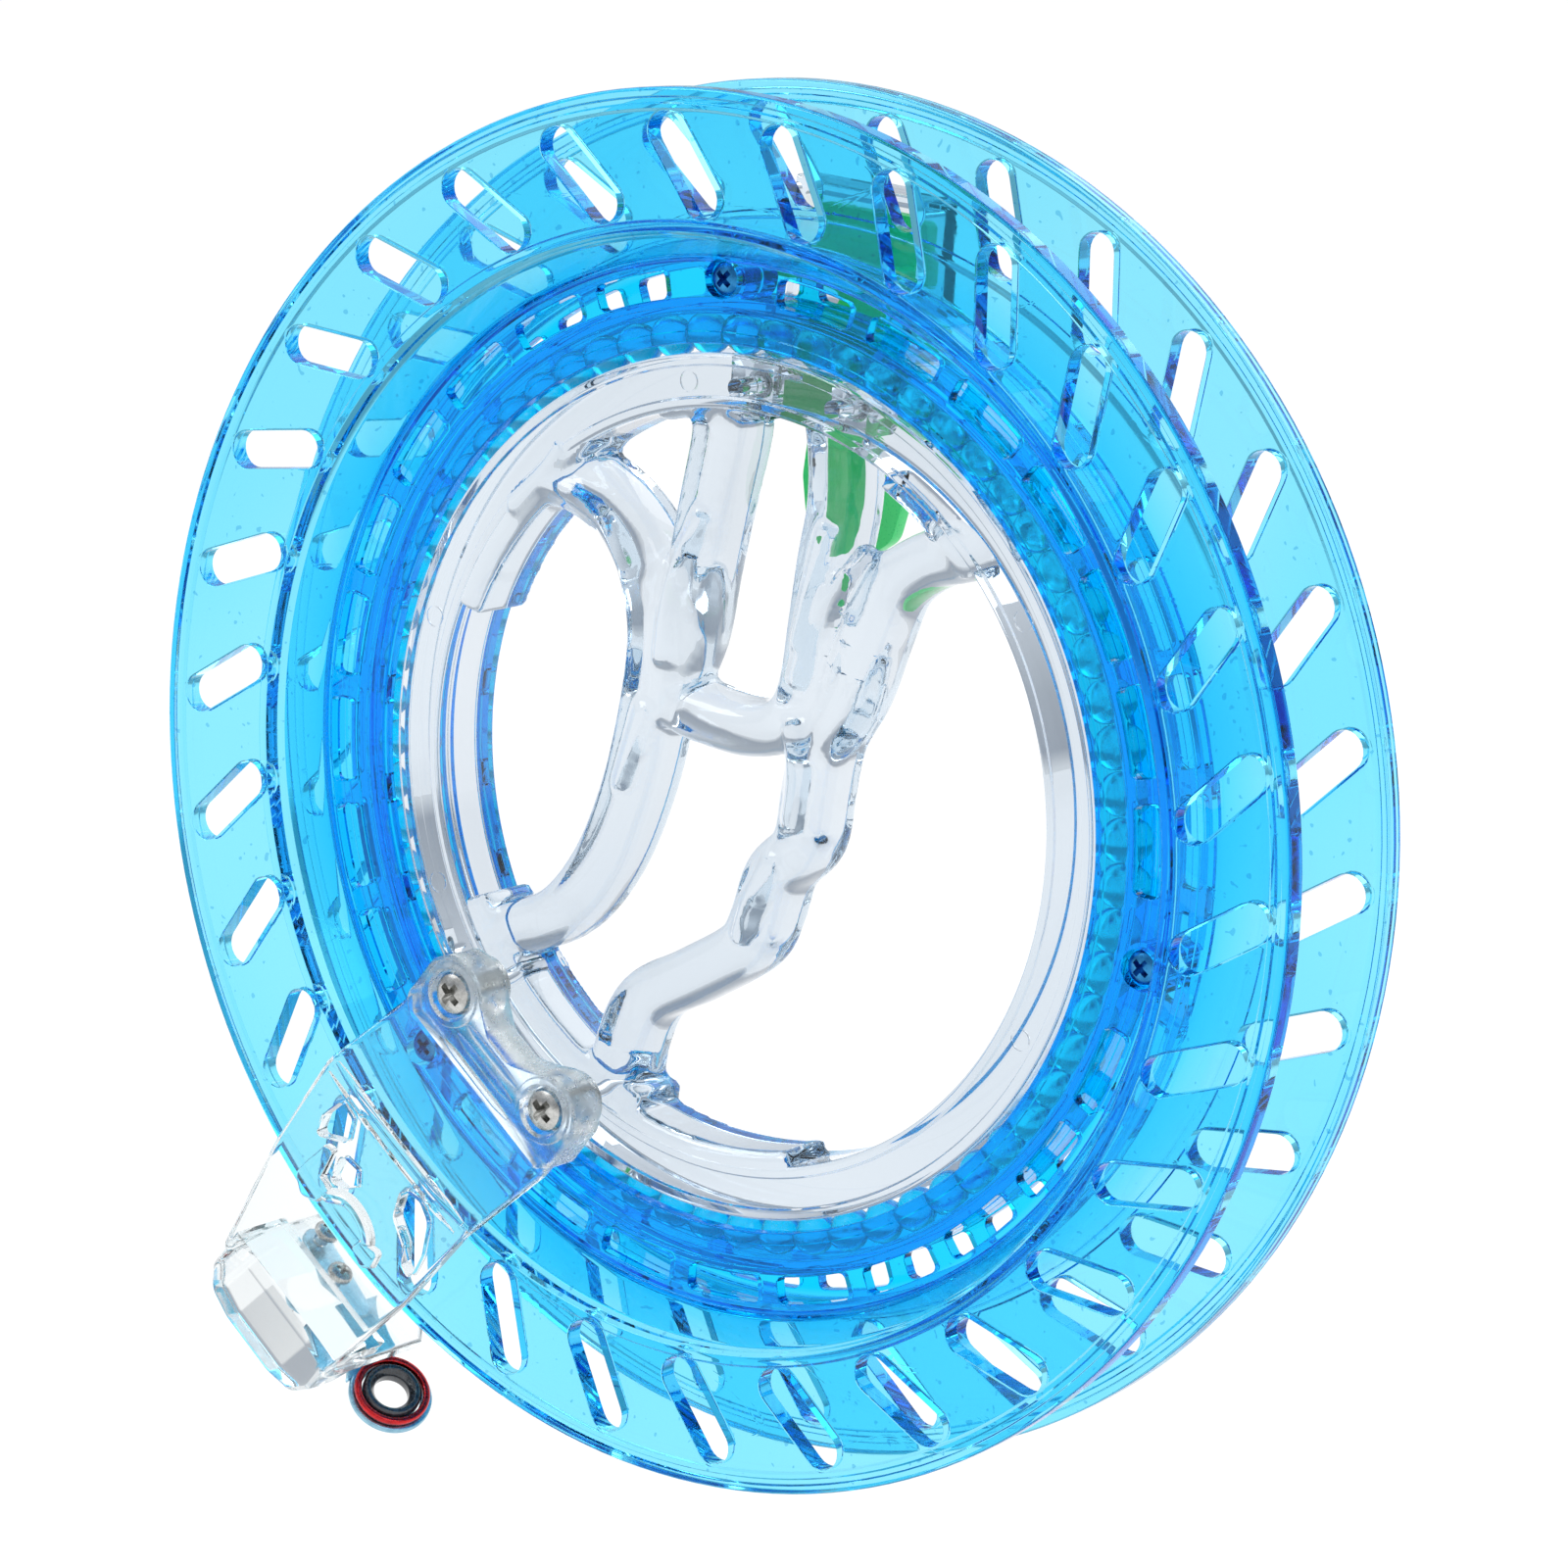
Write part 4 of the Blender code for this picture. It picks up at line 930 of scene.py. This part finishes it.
def tube_on_plate(bm, route, radius, depth, raise_by):
    """A half-sunk round rib along an (out, side) route, tapered at its ends."""
    rings = []
    for i, p in enumerate(route):
        along = heading(route, i)
        across = Vector((-along.y, along.x))
        end = min(1.0, 0.45 + min(i, len(route) - 1 - i) * 0.2)
        rings.append([ARM.point(p.x + across.x * radius * end * c, p.y + across.y * radius * end * c,
                                depth + raise_by * end * s) for c, s in circle(16)])
    loft(bm, rings)


def build_arm():
    bm = bmesh.new()
    arm_plate(bm)
    arm = link(bm, "guide_arm_moulding", 24.0)
    bm = bmesh.new()
    arm_nose(bm)
    join(arm, bm, "arm_nose")
    side = [(60.4, 3.5, 2.5), (57.8, 7.4, 2.0), (55.2, 10.4, 3.0), (55.2, 16.6, 3.4), (59.6, 19.3, 3.4),
            (68.0, 19.3, 2.0),
            (70.4, 17.0, 1.5)]
    outline = mirrored(side, 10.0)
    bm = bmesh.new()
    ARM.plan(bm, outline, ((1.0, 0.95), (1.1, 0.5), (1.35, 0.2), (1.75, 0.0), (7.9, 0.0), (8.4, 0.5)))
    join(arm, bm, "arm_block")
    bm = bmesh.new()
    for s in (-1, 1):
        turned(bm, arm_screw_at(s, 7.0), (0, 1, 0), ((5.0, 0.0), (5.0, 3.0), (4.7, 3.2)), 36)
        turned(bm, arm_screw_at(s, 2.0), (0, -1, 0), ((5.6, 0.0), (5.6, 1.1), (5.35, 1.4), (4.9, 1.5)), 40)
    join(arm, bm, "arm_bosses")
    for number, (out, half) in enumerate(((61.9, 6.6), (64.6, 7.4), (67.4, 8.6))):
        bm = bmesh.new()
        tube_on_plate(bm, [Vector((out, -half + 2 * half * k / 16)) for k in range(17)], 0.85, 1.05, 0.75)
        join(arm, bm, f"arm_block_ridge_{number}")
    for number, (out, radius, depth) in enumerate(((81.5, 0.95, -7.75), (83.6, 0.55, -8.25))):
        bm = bmesh.new()
        route = [Vector((out - 0.002 * t * t, t)) for t in (-17.4 + 34.8 * k / 24 for k in range(25))]
        tube_on_plate(bm, route, radius, depth, 0.75)
        join(arm, bm, f"arm_bend_ridge_{number}")
    for number, shape in enumerate((ARM_LEAF, ARM_FOOT)):
        bm = bmesh.new()
        ARM.plan(bm, rounded(shape, 15.0), ((PLATE_FRONT - 1.25, 0.75), (PLATE_FRONT - 1.15, 0.4),
                                            (PLATE_FRONT - 0.8, 0.1),
                                            (PLATE_FRONT - 0.4, 0.0), (PLATE_FRONT + 1.3, 0.0)))
        join(arm, bm, f"arm_ornament_{number}")
    bm = bmesh.new()
    route = smooth_route(((100.4, -5.4), (97.6, -2.6), (96.2, -0.2), (96.2, 3.0), (97.4, 5.8), (99.4, 7.4)))
    tube_on_plate(bm, route, 1.35, PLATE_FRONT, 1.5)
    join(arm, bm, "arm_rib")
    bm = bmesh.new()
    for shape in ARM_OPENINGS:
        ARM.plan(bm, rounded(shape, 20.0), ((-13.0, -0.35), (-8.38, -0.35), (-8.1, -0.08), (-7.8, 0.0),
                                            (-6.15, 0.0),
                                            (-5.9, -0.08), (-5.62, -0.35), (-2.0, -0.35)))
    for s in (-1, 1):
        turned(bm, arm_screw_at(s, -3.0), (0, 1, 0),
               ((4.6, 0.0), (4.6, 3.4), (4.15, 3.9), (4.0, 4.3), (4.0, 6.0), (1.9, 6.02), (1.9, 15.0)), 40)
    for t, depth in GUIDE_SCREWS:
        turned(bm, ARM.point(121.0, t, depth), ARM.out, ((1.3, 0.0), (1.3, 8.0)), 24)
    cut(arm, bm, "arm_openings")
    dress(weigh_normals(arm), ARM_LOOK, "handle", "guide_arm")


# ---- line guide
def hull(points):
    """The convex outline of some flat points, anticlockwise."""
    points = sorted(points, key=lambda p: (p.x, p.y))
    out = []
    for run in (points, points[::-1]):
        start = len(out)
        for p in run:
            while len(out) >= start + 2 and (out[-1] - out[-2]).cross(p - out[-2]) <= 1e-9:
                out.pop()
            out.append(p)
        out.pop()
    return out


def guide_axes():
    tilt = radians(19.0)
    inward = -ARM.out * cos(tilt) + Vector((0.0, -sin(tilt), 0.0))
    rearward = -ARM.out * sin(tilt) + Vector((0.0, cos(tilt), 0.0))
    return ARM.point(129.8, 19.2, 9.0), inward, ARM.side, rearward


def build_guide():
    centre, inward, across, rearward = guide_axes()
    rim = rounded(((7.15, -0.6, 0.35), (7.15, 0.6, 0.35), (5.2, 0.6, 0.2), (5.2, -0.6, 0.2)), 20.0)
    bm = bmesh.new()
    turned(bm, centre, inward, rim, 64, loop=True)
    made = link(bm, "line_guide_frame", 30.0)
    bm = bmesh.new()
    lobes = ((14.4, -10.0, 2.9), (10.6, -1.8, 2.9), (12.2, 3.4, 2.6))
    foot = []
    for (depth, side, radius), first, last in zip(lobes, (115.0, 245.0, -65.0), (245.0, 270.0, 95.0)):
        for k in range(9):
            turn = radians(first + (last - first) * k / 8)
            foot.append(Vector((depth + radius * sin(turn), side + radius * cos(turn))))
    foot = hull(foot)
    rings = []
    for out, shrink in ((126.8, 0.3), (127.05, 0.0), (127.75, 0.0), (128.0, 0.3)):
        middle = sum(foot, Vector((0.0, 0.0))) / len(foot)
        rings.append([ARM.point(out, p.y - (p - middle).normalized().y * shrink,
                                p.x - (p - middle).normalized().x * shrink)
                      for p in foot])
    loft(bm, rings)
    join(made, bm, "foot", 30.0)
    bm = bmesh.new()
    rings = []
    for k in range(13):
        share = k / 12
        ease = share * share * (3 - 2 * share)
        origin = ARM.point(127.4, 3.0, 12.2).lerp(centre - across * 5.7, ease)
        width = 5.8 - 1.3 * sin(pi * min(1.0, share * 1.1)) - 0.6 * share
        wide = Vector((0.0, 1.0, 0.0)).lerp(rearward, ease).normalized()
        thick = ARM.out.lerp(-inward, ease).normalized()
        ring = []
        for p in rounded_box((-width, -0.52), (width, 0.52), 0.4, 30.0):
            ring.append(origin + wide * p.x + thick * p.y)
        rings.append(ring)
    loft(bm, rings)
    join(made, bm, "neck", 30.0)
    bm = bmesh.new()
    for t, depth in GUIDE_SCREWS:
        turned(bm, ARM.point(125.0, t, depth), ARM.out, ((1.3, 0.0), (1.3, 5.0)), 24)
    cut(made, bm, "foot_holes", 30.0)
    dress(made, ANODISED, "handle", "guide_frame")

    bm = bmesh.new()
    bezel = rounded(((6.5, 0.9, 0.3), (6.5, 2.1, 0.55), (5.3, 2.1, 0.5), (5.3, 0.9, 0.2)), 15.0)
    turned(bm, centre, inward, bezel, 72, loop=True)
    dress(link(bm, "line_guide_bezel", 30.0), RED, "handle", "guide_bezel")

    bm = bmesh.new()
    insert = rounded(((5.0, -1.2, 0.5), (5.0, 1.7, 0.3), (4.6, 2.3, 0.3), (3.9, 2.3, 0.5), (3.0, 1.1, 0.9),
                      (3.0, -0.5, 0.9),
                      (3.6, -1.2, 0.4)), 10.0)
    turned(bm, centre, inward, insert, 72, loop=True)
    dress(link(bm, "line_guide_insert", 30.0), CERAMIC, "handle", "guide_insert")


# ---- brake
SPRING_WIRE = 0.25
SPRING_COIL = 2.0


def bevel(obj, width, segments=3, angle=35.0, sharp=24.0):
    modifier = obj.modifiers.new("edges", "BEVEL")
    modifier.width = width * MM
    modifier.segments = segments
    modifier.limit_method = "ANGLE"
    modifier.angle_limit = radians(angle)
    modifier.use_clamp_overlap = True
    return settle(obj, sharp)


def build_brake():
    bm = bmesh.new()
    outline = rounded(((57.8, 25.3, 0.6), (70.5, 25.3, 0.6), (70.5, 31.9, 0.8), (94.0, 31.9, 0.6),
                       (94.0, 41.1, 1.6),
                       (74.0, 41.1, 3.0), (66.0, 35.6, 3.0), (57.8, 33.4, 1.6)), 12.0)
    BRAKE.profile(bm, outline, -13.3, 13.3)
    housing = link(bm, "brake_guard_moulding", 24.0)
    bm = bmesh.new()
    BRAKE.plan(bm, rounded_box((71.4, -11.3), (92.0, 11.3), 1.0, 22.5),
               ((28.0, 0.0), (39.4, 0.0)))
    cut(housing, bm, "chamber")
    bm = bmesh.new()
    BRAKE.box(bm, (50.0, 74.5), (-5.7, 5.7), (26.9, 45.0))
    cut(housing, bm, "channel")
    bevel(housing, 0.35)
    bm = bmesh.new()
    turned(bm, BRAKE.point(PIVOT_RADIAL, -20.0, PIVOT_DEPTH), BRAKE.side, ((PIN_HOLE, 0.0), (PIN_HOLE, 40.0)),
           28)
    for side in (-1, 1):
        turned(bm, housing_screw_at(side, 22.0), (0, 1, 0),
               ((1.5, 0.0), (1.5, 7.4), (2.5, 7.41), (2.5, 16.0)), 32)
    cut(housing, bm, "holes")
    dress(weigh_normals(housing), CLEAR, "handle", "brake_housing")

    bm = bmesh.new()
    stem_front, stem_back = PIVOT_DEPTH - 1.3, PIVOT_DEPTH + 1.3
    outline = rounded(((30.0, 36.2, 0.0), (54.4, 36.2, 1.5), (59.4, stem_front, 1.5), (69.4, stem_front, 1.5),
                       (76.6, 36.4, 1.5), (95.0, 36.4, 0.0), (95.0, 39.0, 0.0), (75.4, 39.0, 2.5),
                       (68.2, stem_back, 2.5),
                       (60.9, stem_back, 2.5), (55.9, 38.8, 2.5), (30.0, 38.8, 0.0)), 12.0)
    BRAKE.profile(bm, outline, -20.0, 20.0)
    lever = link(bm, "brake_lever_moulding", 24.0)
    side = [(35.5, 4.2, 3.0), (38.6, 8.4, 4.0), (46.0, 10.0, 5.0), (53.4, 9.6, 4.0), (57.4, 5.0, 3.0),
            (76.0, 5.0, 2.0),
            (79.0, 10.3, 1.2), (90.0, 10.3, 1.2)]
    bm = bmesh.new()
    BRAKE.plan(bm, rounded([(r, -t, f) for r, t, f in reversed(side)] + side, 12.0),
               ((20.0, 0.0), (50.0, 0.0)))
    combine(lever, "INTERSECT", link(bm, "lever_plan"), 24.0)
    bevel(lever, 0.4)
    bm = bmesh.new()
    turned(bm, BRAKE.point(PIVOT_RADIAL, -4.9, PIVOT_DEPTH), BRAKE.side,
           ((2.1, 0.0), (2.3, 0.2), (2.3, 9.6), (2.1, 9.8)),
           36)
    for s in (-1, 1):
        low, high = sorted((6.2 * s, 10.0 * s))
        shape = rounded_box((79.3, low), (81.5, high), 0.4, 22.5)
        BRAKE.plan(bm, shape, ((23.2, 0.5), (23.5, 0.2), (24.0, 0.0), (37.6, 0.0)))
    join(lever, bm, "lever_teeth")
    bm = bmesh.new()
    for k in range(5):
        out = 39.0 + 3.4 * k
        half = (5.6, 7.4, 8.0, 8.0, 7.4)[k]
        rings = []
        for j in range(15):
            t = -half + 2 * half * j / 14
            swell = 0.75 * sqrt(max(0.0, 1 - (t / half) ** 4)) + 0.05
            rings.append([BRAKE.point(out + swell * c, t, 38.7 + swell * s) for c, s in circle(10)])
        loft(bm, rings)
    join(lever, bm, "thumb_ridges")
    bm = bmesh.new()
    turned(bm, BRAKE.point(PIVOT_RADIAL, -9.0, PIVOT_DEPTH), BRAKE.side, ((PIN_HOLE, 0.0), (PIN_HOLE, 18.0)),
           28)
    cut(lever, bm, "lever_bore")
    bm = bmesh.new()
    BRAKE.box(bm, (PIVOT_RADIAL - 3.1, PIVOT_RADIAL + 3.1), (1.4, 9.0), (20.0, 40.0))
    cut(lever, bm, "spring_notch")
    dress(lever, GREEN, "brake", "brake_lever")

    bm = bmesh.new()
    turned(bm, BRAKE.point(PIVOT_RADIAL, -12.9, PIVOT_DEPTH), BRAKE.side,
           ((0.4, 0.0), (0.95, 0.1), (1.2, 0.45), (1.2, 25.35), (0.95, 25.7), (0.4, 25.8)), 32)
    dress(link(bm, "brake_pivot_pin", 30.0), STEEL, "handle", "brake_pin")

    floor = 26.9 + 0.55
    route = [(PIVOT_RADIAL - 5.4, 5.2, floor), (PIVOT_RADIAL - 3.0, 5.2, floor + 0.1)]
    for step in range(3 * 20 + 1):
        angle = radians(-90.0) + 2 * pi * step / 20
        route.append((PIVOT_RADIAL + SPRING_COIL * cos(angle), 5.2 - 3.0 * step / 60,
                      PIVOT_DEPTH + SPRING_COIL * sin(angle)))
    route += [(PIVOT_RADIAL + 4.6, 2.2, PIVOT_DEPTH - 2.0)]
    points = [BRAKE.point(*p) for p in route]
    bm = bmesh.new()
    rings = []
    normal = BRAKE.side
    for i, p in enumerate(points):
        along = heading(points, i)
        normal = (normal - along * normal.dot(along)).normalized()
        other = along.cross(normal)
        rings.append([p + (normal * c + other * s) * SPRING_WIRE for c, s in circle(10)])
    loft(bm, rings)
    dress(link(bm, "brake_torsion_spring", 40.0), STEEL, "handle", "brake_spring")


build_spool()
build_balls()
build_hub()
build_arm()
build_guide()
build_brake()
build_screws()


# ---- studio
FLOOR_GAP = 0.05
FLOOR_SIZE = 14.0
FLOOR_GLOW = 0.77
SKY = (
    (0.0, (0.9, 0.9, 0.9)), (0.5, (0.80, 0.81, 0.82)), (0.53, (0.40, 0.43, 0.48)), (0.62, (0.46, 0.49, 0.53)),
    (0.8, (0.85, 0.87, 0.9)), (1.0, (1.0, 1.0, 1.0)),
)
# Each light's name, place, size and power; all aim at the object's middle
LIGHTS = (
    ("key_light", (-0.9, -1.1, 1.3), 0.8, 9.0),
    ("fill_light", (1.3, -0.6, 0.7), 0.7, 3.0),
    ("back_light", (0.1, 1.2, 1.0), 1.0, 4.0),
)
LENS, SENSOR = 127.7, 36.0
CAMERA_PLACE = (0.5248, -0.68035, 0.1595)
CAMERA_AZIMUTH, CAMERA_ELEVATION = 37.26, 10.49
BOUNCES = 14


def build_floor(scene):
    """A pale floor below the object, glowing a little, so that the object shows no shadow."""
    height = CAD_BOX[0][2] - FLOOR_GAP
    bm = bmesh.new()
    corners = ((-1, -1), (1, -1), (1, 1), (-1, 1))
    bm.faces.new([bm.verts.new((x * FLOOR_SIZE, y * FLOOR_SIZE, height)) for x, y in corners])
    mesh = bpy.data.meshes.new("studio_floor")
    bm.to_mesh(mesh)
    bm.free()
    floor = bpy.data.objects.new("studio_floor", mesh)
    scene.collection.objects.link(floor)
    made, tree, shader = new_material("floor_look")
    cloud = noise(tree, coords(tree), 3.0, 2.0)
    tree.links.new(ramp(tree, cloud, ((0.3, (0.28,) * 3), (0.7, (0.30,) * 3))), shader.inputs["Base Color"])
    set_inputs(shader, {"Roughness": 1.0, "Specular IOR Level": 0.0, "Emission Color": (1.0, 1.0, 1.0, 1.0),
                        "Emission Strength": FLOOR_GLOW})
    mesh.materials.append(made)


def build_sky(scene):
    """Bright all round, with a grey belt above the horizon that gives the clear plastic its dark edges."""
    world = bpy.data.worlds.new("studio")
    scene.world = world
    world.use_nodes = True
    tree = world.node_tree
    background = tree.nodes["Background"]
    source = add(tree, "ShaderNodeTexCoord")
    split = add(tree, "ShaderNodeSeparateXYZ")
    tree.links.new(source.outputs["Generated"], split.inputs["Vector"])
    sky = ramp(tree, remap(tree, split.outputs["Z"], -1.0, 1.0, 0.0, 1.0), SKY)
    tree.links.new(sky, background.inputs["Color"])
    background.inputs["Strength"].default_value = 1.0


def build_lights(scene):
    for name, place, size, power in LIGHTS:
        data = bpy.data.lights.new(name, "AREA")
        data.size = size
        data.energy = power
        lamp = bpy.data.objects.new(name, data)
        lamp.location = place
        lamp.rotation_euler = (-Vector(place)).to_track_quat("-Z", "Y").to_euler()
        scene.collection.objects.link(lamp)


def build_camera(scene):
    data = bpy.data.cameras.new("camera")
    data.lens = LENS
    data.sensor_width = SENSOR
    data.clip_end = 50.0
    camera = bpy.data.objects.new("camera", data)
    azimuth, elevation = radians(CAMERA_AZIMUTH), radians(CAMERA_ELEVATION)
    level = Vector((sin(azimuth), -cos(azimuth), 0.0))
    back = level * cos(elevation) + Vector((0.0, 0.0, sin(elevation)))
    right = Vector((cos(azimuth), sin(azimuth), 0.0))
    up = back.cross(right)
    turn = Matrix((right, up, back)).transposed().to_4x4()
    turn.translation = Vector(CAMERA_PLACE)
    camera.matrix_world = turn
    scene.collection.objects.link(camera)
    scene.camera = camera


def build_studio():
    scene = bpy.context.scene
    scene.view_settings.view_transform = "Standard"
    # Clear plastic turns black inside with fewer bounces
    scene.cycles.max_bounces = BOUNCES
    scene.cycles.transmission_bounces = BOUNCES
    scene.cycles.glossy_bounces = BOUNCES
    scene.cycles.diffuse_bounces = 2
    scene.cycles.sample_clamp_indirect = 4.0
    build_floor(scene)
    build_sky(scene)
    build_lights(scene)
    build_camera(scene)


build_studio()
